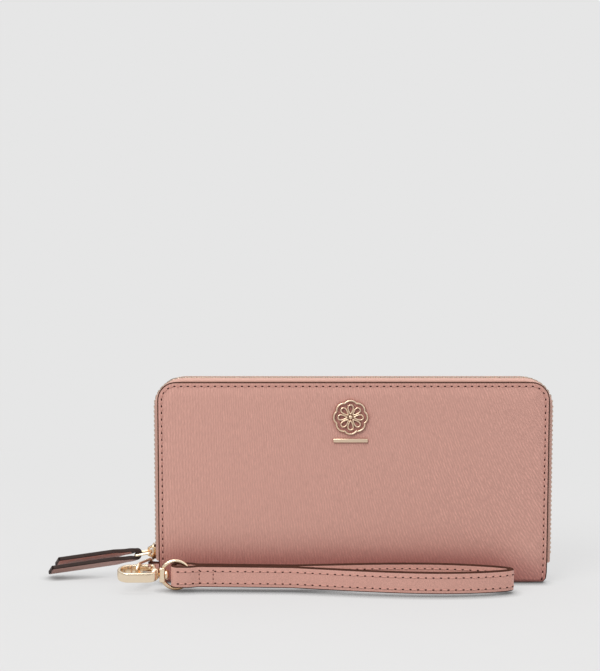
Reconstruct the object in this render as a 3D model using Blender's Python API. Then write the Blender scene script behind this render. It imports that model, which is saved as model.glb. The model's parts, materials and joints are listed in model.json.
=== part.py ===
"""Zip-around wristlet wallet with a clip-on wrist strap, modelled standing on its spine.

Frame: +X to the wearer's right as the front is seen, +Y away from the front, +Z up.
The origin is the middle of the spine's underside, the face the wallet stands on.
All dimensions below are millimetres and are turned into metres when a mesh is made.
"""

import math

import bmesh
import bpy

MM = 0.001

# Covers: two stiff panels joined along the bottom by the spine
HALF_WIDTH = 97.5
HEIGHT = 102.0
HALF_DEPTH = 10.0
TOP_RADIUS = 9.2
ZIP_RADIUS = 13.5
BOTTOM_RADIUS = 4.0
SHEET_GAP = 0.15
LEATHER = 0.9
BOARD = 0.7
LINING = 0.6
BOARD_INSET = 5.0
LINING_INSET = 0.6
LINING_FOOT = 2.6
ARC_STEPS = 8

# Spine and the crease the back cover turns on
SPINE_END = 8.9
SPINE_BOARD_HALF = 6.5
HINGE_Y = 9.0
HINGE_Z = 1.6

# Outer zip: tapes sewn behind the cover edges, teeth meeting over the middle
TAPE_IN = -4.4
TAPE_WALL = (1.4, 2.0)
TAPE_FLANGE = 0.5
TAPE_EDGE = 2.35
TAPE_FOOT_LEFT = 11.0
TAPE_FOOT_RIGHT = 10.0
TEETH_HEIGHT = (1.2, 3.0)
TEETH_SPAN = (0.6, 2.2)
TEETH_FOOT_LEFT = 17.8
TEETH_FOOT_RIGHT = 12.2
STOP_LIFT = 0.4
STOP_GAP = 0.3
STOP_PROUD = 0.2

# Zip slider, its pull link and the leather puller
SLIDER_LOW = 9.5
SLIDER_HIGH = 17.5
SLIDER_WIDE = 3.9
SLIDER_NARROW = 3.1
SLIDER_PLATE = 0.8
FLANGE_INNER = 2.5
WEDGE_HALF = 0.45
WEDGE_SPAN = (0.6, 3.4)
SLIDER_CHAMFER = 0.9
FLANGE_INSET = 1.0
BAIL_FEET = (1.2, 1.0)
BAIL_SHOULDERS = (2.4, 2.2)
BAIL_REACH = 2.15
BAIL_THICK = 0.9
BAIL_HALF = 1.1
OVERLAP = 0.2
LINK_WIRE = 0.62
LINK_CORNER = 0.9
LINK_PLAY = 0.35
LINK_HALF = 3.0
LINK_NEAR = (-102.3, 13.4)
LINK_FAR = (-110.1, 12.1)
PULLER_LENGTH = 43.9
PULLER_STAGGER = 3.6
PULLER_PLY = 2.0
PULLER_HALF_WIDTH = 4.2
PULLER_NECK_HALF = 2.2
PULLER_SLOPE = math.radians(8.3)
PULLER_ROLL = math.radians(25.0)
PULLER_ROLL_RUN = 7.0
PULLER_NECK_END = 4.5
PULLER_WIDEN_RUN = 7.0
PULLER_SKEW = 3.4

# Inside: card slots on each cover, a zipped coin pocket between them
SLOT_HALF_WIDTH = 88.0
SLOT_FOOT = 6.0
SLOT_TOPS = (88.0, 80.0, 72.0, 64.0)
SLOT_SHEET = 0.7
SLOT_START = 7.35
POCKET_HALF_WIDTH = 91.5
POCKET_FOOT = 5.0
POCKET_TOP = 84.6
POCKET_FACE = 2.4
POCKET_SHEET = 0.7
BINDING = 1.5
COIN_TAPE_HALF = 88.0
COIN_TAPE_FOOT = 76.0
COIN_TAPE_TOP = 86.0
COIN_SLIDER_LEFT = -84.0
COIN_SLIDER_LENGTH = 7.0
COIN_PULLER_LENGTH = 11.0
COIN_PULLER_HALF = 1.9
COIN_PULLER_THICK = 0.8
COIN_PULLER_SLOT = (0.4, 4.2)
COIN_PULLER_SLOT_HALF = 0.9
COIN_TEETH = (1.7, 0.3)
COIN_CHEEK_INSET = 0.6
COIN_CHEEK_LIFT = 0.3
COIN_BAIL_FOOT = 1.2
COIN_BAIL_SHOULDER = 2.0
COIN_BAIL_RISE = 1.9
COIN_BAIL_THICK = 0.6
COIN_BAIL_HALF = 0.7
COIN_AXIS_INSET = 3.4
COIN_AXIS_RISE = 0.85

# Side gussets
GUSSET_SHEET = 0.35
GUSSET_OUTER = 95.5
GUSSET_INNER = 84.0
GUSSET_POCKET = 92.3
GUSSET_FOOT = 6.0
GUSSET_TOP = 84.0
GUSSET_POCKET_GAP = 0.45
GUSSET_PLEAT = 0.65

# D-ring on its side tab
RING_BAR = (-101.4, -8.7)
RING_HEADING = math.radians(248.6)
RING_REACH = 15.25
RING_HALF = 3.7
RING_WIRE = 0.7
RING_CORNER = 1.2
RING_Z = 8.3
TAB_LOW = 6.1
TAB_HIGH = 10.5
TAB_THICK = 0.8
TAB_TONGUE_HALF = 0.25
TAB_TUCK = 3.0

# Snap hook: a flat-band loop with a sprung gate and a swivelling eye
SWIVEL_Y = -23.5
SWIVEL_Z = 7.9
BAND = 1.6
BAND_HALF = 2.3
HOOK_LEFT = -110.0
HOOK_RADIUS = 5.5
HOOK_PIVOT = (-106.8, -22.5)
HOOK_NOSE = 0.5
HOOK_NEAR_END = -101.0
HOOK_NECK = [(-98.4, -4.6), (-97.2, -2.2)]
HOOK_ARM = [(-98.1, 0.6), (-98.5, 3.2), (-99.3, 5.6)]
GATE_PIN = (-99.5, -18.0)
GATE_PIN_RADIUS = 0.6
GATE_KNUCKLE_HALF = 0.95
GATE_KNUCKLE_RADIUS = 1.35
GATE_SWEEP_RADIUS = 1.9
GATE_NECK = (4.0, 0.9)
GATE_LEVER_START = 2.3
GATE_TIP_SLANT = 0.5
SPRING_LEAF = [(-100.1, 2.7), (-102.1, 3.9), (-104.5, 4.3)]
SPRING_THICK = 0.25
SPRING_HALF = 0.7
GATE_TIP = -109.9
HEAD_LEFT = -99.7
HEAD_RIGHT = -96.1
HEAD_RADIUS = 2.7
EYE_X = -87.75
EYE_RADIUS = 7.0
EYE_WIRE = 0.85
BOSS_LEFT = -95.6
BOSS_RIGHT = -92.9
BOSS_HALF_Z = 3.6
BOSS_HALF_Y = 1.9
POST_RADIUS = 1.0
POST_LEFT = -98.9
POST_BORE_LEFT = -99.1
POST_SEAT_GAP = 0.25
POST_DOME = 0.5
POST_HEAD_RADIUS = 1.9
POST_HEAD_RIGHT = -91.2
RUNNING_GAP = 0.1

# Wrist strap: one long strip folded through the eye and closed in a loop
STRAP_LEFT = -86.4
STRAP_TACK = -76.0
STRAP_SPLIT = -30.0
STRAP_RIGHT = 75.4
STRAP_EYE_GAP = 1.3
STRAP_PLY_GAP = 0.1
STRAP_TIP_GAP = 0.25
STRAP_BULGE = 5.55
STRAP_DRIFT = 3.3
STRAP_SKEW = 1.45
STRAP_LAYER = 1.1
STRAP_HALF_HEIGHT = 5.3
STRAP_Z_LEFT = 7.65
STRAP_Z_RIGHT = 6.6
STRAP_TILT = 0.06
STRAP_FOLD_LENGTH = 4.5
STRAP_SWELL_POWER = 0.7
STRAP_PIVOT_X = -80.75
STRAP_STEPS = 26

# Gold ornament on the front
ORNAMENT_X = -1.5
ORNAMENT_Z = 84.0
ORNAMENT_RADIUS = 7.9
ORNAMENT_LOBE = 0.8
ORNAMENT_PETALS = 8
ORNAMENT_HOLE = 1.7
ORNAMENT_HOLE_RING = 5.2
ORNAMENT_SHEET = 0.9
BAR_Z = 72.3
BAR_HALF = (8.6, 1.0)


# ---------------------------------------------------------------- helpers

def clear_scene():
    for obj in list(bpy.data.objects):
        bpy.data.objects.remove(obj)


def make_material(name, colour, roughness, metallic=0.0):
    material = bpy.data.materials.new(name)
    material.use_nodes = True
    shader = material.node_tree.nodes["Principled BSDF"]
    shader.inputs["Base Color"].default_value = (*colour, 1.0)
    shader.inputs["Roughness"].default_value = roughness
    shader.inputs["Metallic"].default_value = metallic
    return material


class Body:
    """A rigid group: an empty on its joint's axis, with the group's pieces parented to it."""

    def __init__(self, name, pivot=(0.0, 0.0, 0.0), parent=None):
        self.pivot = pivot
        self.empty = bpy.data.objects.new("axis_" + name, None)
        bpy.context.scene.collection.objects.link(self.empty)
        start = parent.pivot if parent else (0.0, 0.0, 0.0)
        self.empty.location = [(a - b) * MM for a, b in zip(pivot, start)]
        if parent:
            self.empty.parent = parent.empty

    def add(self, name, shape, material, smooth=False):
        """Turn a bmesh in world millimetres into an object of this group."""
        for vert in shape.verts:
            vert.co = [(a - b) * MM for a, b in zip(vert.co, self.pivot)]
        bmesh.ops.recalc_face_normals(shape, faces=shape.faces)
        mesh = bpy.data.meshes.new(name)
        shape.to_mesh(mesh)
        shape.free()
        mesh.materials.append(material)
        if smooth:
            mesh.shade_smooth()
            mesh.set_sharp_from_angle(angle=math.radians(40))
        obj = bpy.data.objects.new(name, mesh)
        bpy.context.scene.collection.objects.link(obj)
        obj.parent = self.empty
        return obj

    def combine(self, target, shape, operation):
        """Join a helper shape to the target, or cut it away, with a Boolean modifier."""
        material = target.data.materials[0]
        helper = self.add("tool_" + target.name + "_" + str(len(target.modifiers)), shape, material)
        helper.hide_render = True
        helper.display_type = "WIRE"
        modifier = target.modifiers.new(operation.lower(), "BOOLEAN")
        modifier.object = helper
        modifier.operation = operation


def arc(centre, radius, start, end, steps=ARC_STEPS):
    """Points on an arc, both ends included; angles in degrees."""
    points = []
    for i in range(steps + 1):
        angle = math.radians(start + (end - start) * i / steps)
        points.append((centre[0] + radius * math.cos(angle), centre[1] + radius * math.sin(angle)))
    return points


def loft(rings, closed=False):
    """Skin a list of point rings; open lofts get a cap at each end."""
    shape = bmesh.new()
    rows = [[shape.verts.new(point) for point in ring] for ring in rings]
    count = len(rows[0])
    pairs = list(zip(rows, rows[1:]))
    if closed:
        pairs.append((rows[-1], rows[0]))
    for low, high in pairs:
        for i in range(count):
            j = (i + 1) % count
            shape.faces.new((low[i], low[j], high[j], high[i]))
    if not closed:
        shape.faces.new(rows[0])
        shape.faces.new(rows[-1])
    return shape


def prism(outline, low, high, axis):
    """Extrude a closed 2-D outline along x, y or z; the other two axes keep their order."""
    index = "xyz".index(axis)
    rings = []
    for level in (low, high):
        ring = [list(point) for point in outline]
        for point in ring:
            point.insert(index, level)
        rings.append(ring)
    return loft(rings)


def box(x, y, z):
    return prism([(x[0], y[0]), (x[1], y[0]), (x[1], y[1]), (x[0], y[1])], z[0], z[1], "z")


def rod(centre, radius, low, high, axis, sides=16):
    outline = arc(centre, radius, 0, 360 - 360 / sides, sides - 1)
    return prism(outline, low, high, axis)


def tube(path, radius, sides=8):
    """Sweep a round wire along a closed path of 3-D points that lies in one plane."""
    rings = []
    count = len(path)
    normal = plane_normal(path)
    for i, point in enumerate(path):
        before = path[i - 1]
        after = path[(i + 1) % count]
        along = unit([b - a for a, b in zip(before, after)])
        side = cross(along, normal)
        ring = []
        for k in range(sides):
            angle = 2 * math.pi * (k + 0.5) / sides
            offset = [radius * (math.cos(angle) * s + math.sin(angle) * n) for s, n in zip(side, normal)]
            ring.append([p + o for p, o in zip(point, offset)])
        rings.append(ring)
    return loft(rings, closed=True)


def unit(vector):
    length = math.sqrt(sum(v * v for v in vector))
    return [v / length for v in vector]


def cross(a, b):
    return [a[1] * b[2] - a[2] * b[1], a[2] * b[0] - a[0] * b[2], a[0] * b[1] - a[1] * b[0]]


def plane_normal(path):
    third = len(path) // 3
    first = [b - a for a, b in zip(path[0], path[third])]
    second = [b - a for a, b in zip(path[0], path[2 * third])]
    return unit(cross(first, second))


def ribbon(points, thickness):
    """Closed outline of a strip of even thickness that follows an open 2-D polyline."""
    left = []
    right = []
    last = len(points) - 1
    for i, point in enumerate(points):
        normals = []
        for a, b in ((i - 1, i), (i, i + 1)):
            if a >= 0 and b <= last:
                direction = unit([points[b][0] - points[a][0], points[b][1] - points[a][1]])
                normals.append((-direction[1], direction[0]))
        mean = unit([sum(n[0] for n in normals), sum(n[1] for n in normals)])
        stretch = thickness / 2 / (mean[0] * normals[0][0] + mean[1] * normals[0][1])
        left.append((point[0] + mean[0] * stretch, point[1] + mean[1] * stretch))
        right.append((point[0] - mean[0] * stretch, point[1] - mean[1] * stretch))
    return left + right[::-1]


def smooth_step(value):
    value = min(max(value, 0.0), 1.0)
    return value * value * (3 - 2 * value)


def panel_outline(inset, foot, foot_radius=0.0, top_radius=TOP_RADIUS):
    """Front view of a cover layer: square or softly rounded foot, large round top corners."""
    half = HALF_WIDTH - inset
    top = HEIGHT - inset
    radius = top_radius - inset
    outline = arc((half - radius, top - radius), radius, 0, 90)
    outline += arc((radius - half, top - radius), radius, 90, 180)
    if foot_radius:
        outline += arc((foot_radius - half, foot + foot_radius), foot_radius, 180, 270, 4)
        outline += arc((half - foot_radius, foot + foot_radius), foot_radius, 270, 360, 4)
    else:
        outline += [(-half, foot), (half, foot)]
    return outline


def edge_band(section, foot_left, foot_right):
    """Sweep a section of (outward, y) points round a cover, on a wider curve than its corners."""
    centre_z = HEIGHT - ZIP_RADIUS
    centre_x = HALF_WIDTH - ZIP_RADIUS
    stations = [(-HALF_WIDTH, foot_left, 180.0)]
    for sign, start in ((-1, 180.0), (1, 90.0)):
        for i in range(ARC_STEPS + 1):
            angle = start - 90.0 * i / ARC_STEPS
            x = sign * centre_x + ZIP_RADIUS * math.cos(math.radians(angle))
            z = centre_z + ZIP_RADIUS * math.sin(math.radians(angle))
            stations.append((x, z, angle))
    stations.append((HALF_WIDTH, foot_right, 0.0))
    rings = []
    for x, z, angle in stations:
        out_x = math.cos(math.radians(angle))
        out_z = math.sin(math.radians(angle))
        rings.append([(x + out * out_x, y, z + out * out_z) for out, y in section])
    return loft(rings)


# ---------------------------------------------------------------- covers and spine

def layer_depths():
    """Distance of each cover layer from the middle plane, outer face first."""
    leather = (HALF_DEPTH, HALF_DEPTH - LEATHER)
    board = (leather[1] - SHEET_GAP, leather[1] - SHEET_GAP - BOARD)
    lining = (board[1] - SHEET_GAP, board[1] - SHEET_GAP - LINING)
    return leather, board, lining


def add_cover(body, prefix, side, materials):
    """Leather, stiffening board and lining of one cover; side is -1 in front, +1 behind."""
    leather, board, lining = [sorted((side * a, side * b)) for a, b in layer_depths()]
    leather_foot = 0.0 if side < 0 else LINING_FOOT
    corner = BOTTOM_RADIUS if side < 0 else 0.0
    shape = prism(panel_outline(0.0, leather_foot, corner), leather[0], leather[1], "y")
    body.add(prefix + "_cover_leather", shape, materials["leather"])
    outline = panel_outline(BOARD_INSET, BOARD_INSET, top_radius=ZIP_RADIUS)
    shape = prism(outline, board[0], board[1], "y")
    body.add(prefix + "_cover_board", shape, materials["board"])
    shape = prism(panel_outline(LINING_INSET, LINING_FOOT), lining[0], lining[1], "y")
    body.add(prefix + "_lining", shape, materials["lining"])


def add_spine(body, materials):
    front = layer_depths()[0][1] - SHEET_GAP
    corner = HALF_WIDTH - BOTTOM_RADIUS
    shape = box((-corner, corner), (-front, SPINE_END), (0.0, LEATHER))
    body.add("spine_leather", shape, materials["leather"])
    low = LEATHER + SHEET_GAP
    half = HALF_WIDTH - BOARD_INSET
    shape = box((-half, half), (-SPINE_BOARD_HALF, SPINE_BOARD_HALF), (low, low + BOARD))
    body.add("spine_board", shape, materials["board"])


# ---------------------------------------------------------------- outer zip

def add_zip_side(body, prefix, side, materials):
    """One tape and its row of teeth, sewn to one cover."""
    root = side * (layer_depths()[0][1] - SHEET_GAP)
    flange = root - side * TAPE_FLANGE
    edge = side * TAPE_EDGE
    inner, outer = TAPE_WALL
    section = [(TAPE_IN, root), (outer, root), (outer, edge), (inner, edge), (inner, flange), (TAPE_IN, flange)]
    shape = edge_band(section, TAPE_FOOT_LEFT, TAPE_FOOT_RIGHT)
    body.add(prefix + "_zip_tape", shape, materials["tape"])
    low, high = TEETH_HEIGHT
    near, far = [side * value for value in TEETH_SPAN]
    section = [(low, far), (high, far), (high, near), (low, near)]
    shape = edge_band(section, TEETH_FOOT_LEFT, TEETH_FOOT_RIGHT)
    body.add(prefix + "_zip_teeth", shape, materials["gold"])


def add_zip_end_stop(body, materials):
    """Staple that closes the lower right end of the zip."""
    low, high = TEETH_HEIGHT
    x = (HALF_WIDTH + low, HALF_WIDTH + high + STOP_PROUD)
    shape = box(x, (-TEETH_SPAN[1], TEETH_SPAN[1]), (TAPE_FOOT_RIGHT + STOP_LIFT, TEETH_FOOT_RIGHT - STOP_GAP))
    body.add("zip_end_stop", shape, materials["gold"])


def slider_plate(near, far):
    """One slider plate, wide at its lower end; near and far count outward from the cover edge."""
    middle = (SLIDER_LOW + SLIDER_HIGH) / 2
    chamfer = SLIDER_CHAMFER
    outline = [
        (-SLIDER_WIDE + chamfer, SLIDER_LOW), (SLIDER_WIDE - chamfer, SLIDER_LOW),
        (SLIDER_WIDE, SLIDER_LOW + chamfer), (SLIDER_WIDE, middle), (SLIDER_NARROW, SLIDER_HIGH - chamfer),
        (SLIDER_NARROW - chamfer, SLIDER_HIGH), (chamfer - SLIDER_NARROW, SLIDER_HIGH),
        (-SLIDER_NARROW, SLIDER_HIGH - chamfer), (-SLIDER_WIDE, middle), (-SLIDER_WIDE, SLIDER_LOW + chamfer),
    ]
    return prism(outline, -HALF_WIDTH - far, -HALF_WIDTH - near, "x")


def add_slider(body, materials):
    """Outer plate with side flanges and bail, divider post, and inner plate."""
    outer = TEETH_HEIGHT[1] + SHEET_GAP
    inner = TEETH_HEIGHT[0] - SHEET_GAP
    shell = outer + SLIDER_PLATE
    slider = body.add("slider_body", slider_plate(outer, shell), materials["gold"])
    near, far = WEDGE_SPAN
    wedge = box((-HALF_WIDTH - outer - OVERLAP, -HALF_WIDTH - inner + OVERLAP), (-WEDGE_HALF, WEDGE_HALF),
                (SLIDER_LOW + near, SLIDER_LOW + far))
    body.combine(slider, wedge, "UNION")
    body.combine(slider, slider_plate(inner - SLIDER_PLATE, inner), "UNION")
    for side in (-1, 1):
        y = sorted((side * FLANGE_INNER, side * SLIDER_NARROW))
        x = (-HALF_WIDTH - outer - OVERLAP, -HALF_WIDTH - TAPE_WALL[1] - SHEET_GAP)
        body.combine(slider, box(x, y, (SLIDER_LOW + FLANGE_INSET, SLIDER_HIGH - FLANGE_INSET)), "UNION")
    plate_x = -HALF_WIDTH - shell
    arch = [
        (plate_x + OVERLAP, SLIDER_LOW + BAIL_FEET[0]), (plate_x - BAIL_REACH, SLIDER_LOW + BAIL_SHOULDERS[0]),
        (plate_x - BAIL_REACH, SLIDER_HIGH - BAIL_SHOULDERS[1]), (plate_x + OVERLAP, SLIDER_HIGH - BAIL_FEET[1]),
    ]
    body.combine(slider, prism(ribbon(arch, BAIL_THICK), -BAIL_HALF, BAIL_HALF, "y"), "UNION")


def loop_path(half_length, half_width, corner, steps=4):
    """Rounded rectangle in its own plane, centred on the origin."""
    path = []
    for sx, sy, start in ((1, 1, 0), (-1, 1, 90), (-1, -1, 180), (1, -1, 270)):
        centre = (sx * (half_length - corner), sy * (half_width - corner))
        path += arc(centre, corner, start, start + 90, steps)
    return path


def add_pull_link(body, materials):
    """Small wire loop from the slider's bail to the leather puller."""
    near, far = LINK_NEAR, LINK_FAR
    middle = [(a + b) / 2 for a, b in zip(near, far)]
    along = unit([far[0] - near[0], far[1] - near[1]])
    half = math.dist(near, far) / 2
    path = []
    for run, across in loop_path(half, LINK_HALF, LINK_CORNER):
        path.append((middle[0] + run * along[0], across, middle[1] + run * along[1]))
    body.add("pull_link", tube(path, LINK_WIRE), materials["gold"], smooth=True)


def puller_point(run, rise, side):
    """Place a point of the puller: run along it, rise off its middle, side -1..1 across it."""
    twist = PULLER_ROLL * smooth_step(run / PULLER_ROLL_RUN)
    widen = smooth_step((run - PULLER_NECK_END) / PULLER_WIDEN_RUN)
    half = PULLER_NECK_HALF + (PULLER_HALF_WIDTH - PULLER_NECK_HALF) * widen
    across = side * half
    y = across * math.cos(twist) + rise * math.sin(twist)
    up = rise * math.cos(twist) - across * math.sin(twist)
    x = LINK_FAR[0] - run * math.cos(PULLER_SLOPE) - up * math.sin(PULLER_SLOPE)
    z = LINK_FAR[1] - run * math.sin(PULLER_SLOPE) + up * math.cos(PULLER_SLOPE)
    return (x, y, z)


def add_puller(body, materials):
    """Leather strip folded round the link's far bar, with two slant-cut tails."""
    bend = LINK_WIRE + LINK_PLAY + PULLER_PLY / 2
    centre = []
    for i in range(7):
        run = (PULLER_LENGTH - PULLER_STAGGER) * (1 - i / 6)
        centre.append((run, bend))
    centre += arc((0.0, 0.0), bend, 90, 270, 6)[1:-1]
    for i in range(7):
        centre.append((PULLER_LENGTH * i / 6, -bend))
    outline = ribbon(centre, PULLER_PLY)
    rings = []
    for side in (-1, 1):
        ring = []
        for i, (run, rise) in enumerate(outline):
            at_tip = i in (0, len(centre) - 1, len(centre), len(outline) - 1)
            skew = PULLER_SKEW * side / 2 if at_tip else 0.0
            ring.append(puller_point(run + skew, rise, side))
        rings.append(ring)
    body.add("puller_leather", loft(rings), materials["leather"])


# ---------------------------------------------------------------- inside

def add_card_slots(body, prefix, side, materials):
    """Four stepped pocket sheets, the tallest against the lining."""
    face = SLOT_START
    for number, top in enumerate(SLOT_TOPS, start=1):
        y = sorted((side * face, side * (face - SLOT_SHEET)))
        shape = box((-SLOT_HALF_WIDTH, SLOT_HALF_WIDTH), y, (SLOT_FOOT, top))
        body.add(prefix + "_card_slot_" + str(number), shape, materials["lining"])
        face -= SLOT_SHEET + SHEET_GAP


def add_coin_pocket(body, materials):
    """Two panels closed by a U-shaped binding, with a zip along the top."""
    half = POCKET_HALF_WIDTH
    inner = POCKET_FACE - POCKET_SHEET
    for name, side in (("front", -1), ("rear", 1)):
        y = sorted((side * POCKET_FACE, side * inner))
        shape = box((-half, half), y, (POCKET_FOOT, POCKET_TOP))
        body.add("coin_pocket_" + name + "_panel", shape, materials["lining"])
        tape = inner - SHEET_GAP
        y = sorted((side * tape, side * (tape - TAPE_FLANGE)))
        shape = box((-COIN_TAPE_HALF, COIN_TAPE_HALF), y, (COIN_TAPE_FOOT, COIN_TAPE_TOP))
        body.add("coin_zip_" + name + "_tape", shape, materials["tape"])
    depth = inner - SHEET_GAP
    outline = [
        (-half, POCKET_FOOT), (half, POCKET_FOOT), (half, POCKET_TOP), (half - BINDING, POCKET_TOP),
        (half - BINDING, POCKET_FOOT + BINDING), (BINDING - half, POCKET_FOOT + BINDING),
        (BINDING - half, POCKET_TOP), (-half, POCKET_TOP),
    ]
    body.add("coin_pocket_binding", prism(outline, -depth, depth, "y"), materials["lining"])
    reach = depth - TAPE_FLANGE - SHEET_GAP
    z = (COIN_TAPE_TOP - COIN_TEETH[0], COIN_TAPE_TOP - COIN_TEETH[1])
    shape = box((-COIN_TAPE_HALF, COIN_TAPE_HALF), (-reach, reach), z)
    body.add("coin_zip_teeth", shape, materials["gold"])


def add_coin_slider(body, materials):
    """Saddle-shaped slider that straddles the coin zip, with a bail on top."""
    x = (COIN_SLIDER_LEFT, COIN_SLIDER_LEFT + COIN_SLIDER_LENGTH)
    half = POCKET_FACE - RUNNING_GAP
    base = COIN_TAPE_TOP + SHEET_GAP
    slider = body.add("coin_slider", box(x, (-half, half), (base, base + SLIDER_PLATE)), materials["gold"])
    for side in (-1, 1):
        y = sorted((side * (POCKET_FACE - POCKET_SHEET), side * half))
        shape = box((x[0] + COIN_CHEEK_INSET, x[1] - COIN_CHEEK_INSET), y,
                    (POCKET_TOP + COIN_CHEEK_LIFT, base + COIN_CHEEK_LIFT))
        body.combine(slider, shape, "UNION")
    top = base + SLIDER_PLATE
    rise = top + COIN_BAIL_RISE
    arch = [(x[0] + COIN_BAIL_FOOT, top - OVERLAP), (x[0] + COIN_BAIL_SHOULDER, rise),
            (x[1] - COIN_BAIL_SHOULDER, rise), (x[1] - COIN_BAIL_FOOT, top - OVERLAP)]
    body.combine(slider, prism(ribbon(arch, COIN_BAIL_THICK), -COIN_BAIL_HALF, COIN_BAIL_HALF, "y"), "UNION")


def coin_pull_axis():
    x = COIN_SLIDER_LEFT + COIN_SLIDER_LENGTH - COIN_AXIS_INSET
    return (x, 0.0, COIN_TAPE_TOP + SHEET_GAP + SLIDER_PLATE + COIN_AXIS_RISE)


def add_coin_puller(body, materials):
    """Flat metal tab with a slot at its hinge end for the bail."""
    x, _, z = coin_pull_axis()
    half = COIN_PULLER_HALF
    thick = COIN_PULLER_THICK / 2
    shape = box((x - thick, x + COIN_PULLER_LENGTH), (-half, half), (z - thick, z + thick))
    tab = body.add("coin_puller", shape, materials["gold"])
    near, far = COIN_PULLER_SLOT
    slot = box((x + near, x + far), (-COIN_PULLER_SLOT_HALF, COIN_PULLER_SLOT_HALF),
               (z - COIN_PULLER_THICK, z + COIN_PULLER_THICK))
    body.combine(tab, slot, "DIFFERENCE")


def add_gusset(body, name, sign, materials):
    """Accordion side wall: lining, fold, coin pocket edge, fold, lining."""
    pocket = POCKET_FACE + GUSSET_POCKET_GAP
    fold = pocket + GUSSET_PLEAT
    start = SLOT_START - SHEET_GAP
    half_path = [
        (GUSSET_OUTER, start), (GUSSET_OUTER, fold), (GUSSET_INNER, fold), (GUSSET_INNER, pocket),
        (GUSSET_POCKET, pocket),
    ]
    path = [(sign * x, -y) for x, y in half_path]
    path += [(sign * x, y) for x, y in reversed(half_path)]
    shape = prism(ribbon(path, GUSSET_SHEET), GUSSET_FOOT, GUSSET_TOP, "z")
    body.add(name, shape, materials["leather"])


# ---------------------------------------------------------------- D-ring and snap hook

def add_ring_tab(body, materials):
    """Leather tab that runs from the cover seam round the D-ring's straight bar."""
    x, y = RING_BAR
    bore = RING_WIRE + SHEET_GAP
    tab = body.add("d_ring_tab", rod((x, y), bore + TAB_THICK, TAB_LOW, TAB_HIGH, "z"), materials["leather"])
    tongue = box((x + bore + TAB_THICK / 2, -HALF_WIDTH + TAB_TUCK), (y - TAB_TONGUE_HALF, y + TAB_TONGUE_HALF),
                 (TAB_LOW, TAB_HIGH))
    body.combine(tab, tongue, "UNION")
    body.combine(tab, rod((x, y), bore, TAB_LOW - 1.0, TAB_HIGH + 1.0, "z"), "DIFFERENCE")


def add_d_ring(body, materials):
    """Wire ring: a straight bar in the tab, two arms and a half-round end."""
    outline = arc((RING_CORNER, RING_CORNER - RING_HALF), RING_CORNER, 270, 180, 3)
    outline += arc((RING_CORNER, RING_HALF - RING_CORNER), RING_CORNER, 180, 90, 3)
    outline += arc((RING_REACH - RING_HALF, 0.0), RING_HALF, 90, -90, 12)
    path = []
    for run, rise in outline:
        x = RING_BAR[0] + run * math.cos(RING_HEADING)
        y = RING_BAR[1] + run * math.sin(RING_HEADING)
        path.append((x, y, RING_Z + rise))
    body.add("d_ring", tube(path, RING_WIRE), materials["gold"], smooth=True)


def hook_path():
    """Middle line of the band, from the nose round the left end to the head."""
    far = SWIVEL_Y + HOOK_RADIUS
    near = SWIVEL_Y - HOOK_RADIUS
    path = [(GATE_TIP - HOOK_NOSE, far)]
    path += arc((HOOK_LEFT, SWIVEL_Y), HOOK_RADIUS, 95, 270, 12)
    path += [(HOOK_NEAR_END, near)]
    path += [(x, SWIVEL_Y + y) for x, y in HOOK_NECK]
    return path


def add_snap_hook(body, materials):
    """Band, swivel head and the fork that carries the gate."""
    low = SWIVEL_Z - BAND_HALF
    high = SWIVEL_Z + BAND_HALF
    hook = body.add("snap_hook_body", prism(ribbon(hook_path(), BAND), low, high, "z"), materials["gold"])
    head = rod((SWIVEL_Y, SWIVEL_Z), HEAD_RADIUS, HEAD_LEFT, HEAD_RIGHT, "x", 20)
    body.combine(hook, head, "UNION")
    arm = [(x, SWIVEL_Y + y) for x, y in HOOK_ARM]
    body.combine(hook, prism(ribbon(arm, BAND), low, high, "z"), "UNION")
    body.combine(hook, rod(GATE_PIN, GATE_KNUCKLE_RADIUS, low, high, "z"), "UNION")
    slot = GATE_KNUCKLE_HALF + SHEET_GAP
    sweep = rod(GATE_PIN, GATE_SWEEP_RADIUS, SWIVEL_Z - slot, SWIVEL_Z + slot, "z", 20)
    body.combine(hook, sweep, "DIFFERENCE")
    bore = GATE_PIN_RADIUS + RUNNING_GAP
    body.combine(hook, rod(GATE_PIN, bore, low - 1.0, high + 1.0, "z"), "DIFFERENCE")
    shaft = rod((SWIVEL_Y, SWIVEL_Z), POST_RADIUS + RUNNING_GAP, POST_BORE_LEFT, HEAD_RIGHT + 1.0, "x")
    body.combine(hook, shaft, "DIFFERENCE")


def add_gate_pin(body, materials):
    shape = rod(GATE_PIN, GATE_PIN_RADIUS, SWIVEL_Z - BAND_HALF, SWIVEL_Z + BAND_HALF, "z")
    body.add("gate_pin", shape, materials["steel"], smooth=True)


def add_gate_spring(body, materials):
    """Leaf spring that rests in the fork and presses on the back of the gate."""
    leaf = [(x, SWIVEL_Y + y) for x, y in SPRING_LEAF]
    shape = prism(ribbon(leaf, SPRING_THICK), SWIVEL_Z - SPRING_HALF, SWIVEL_Z + SPRING_HALF, "z")
    body.add("gate_spring", shape, materials["steel"])


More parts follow.
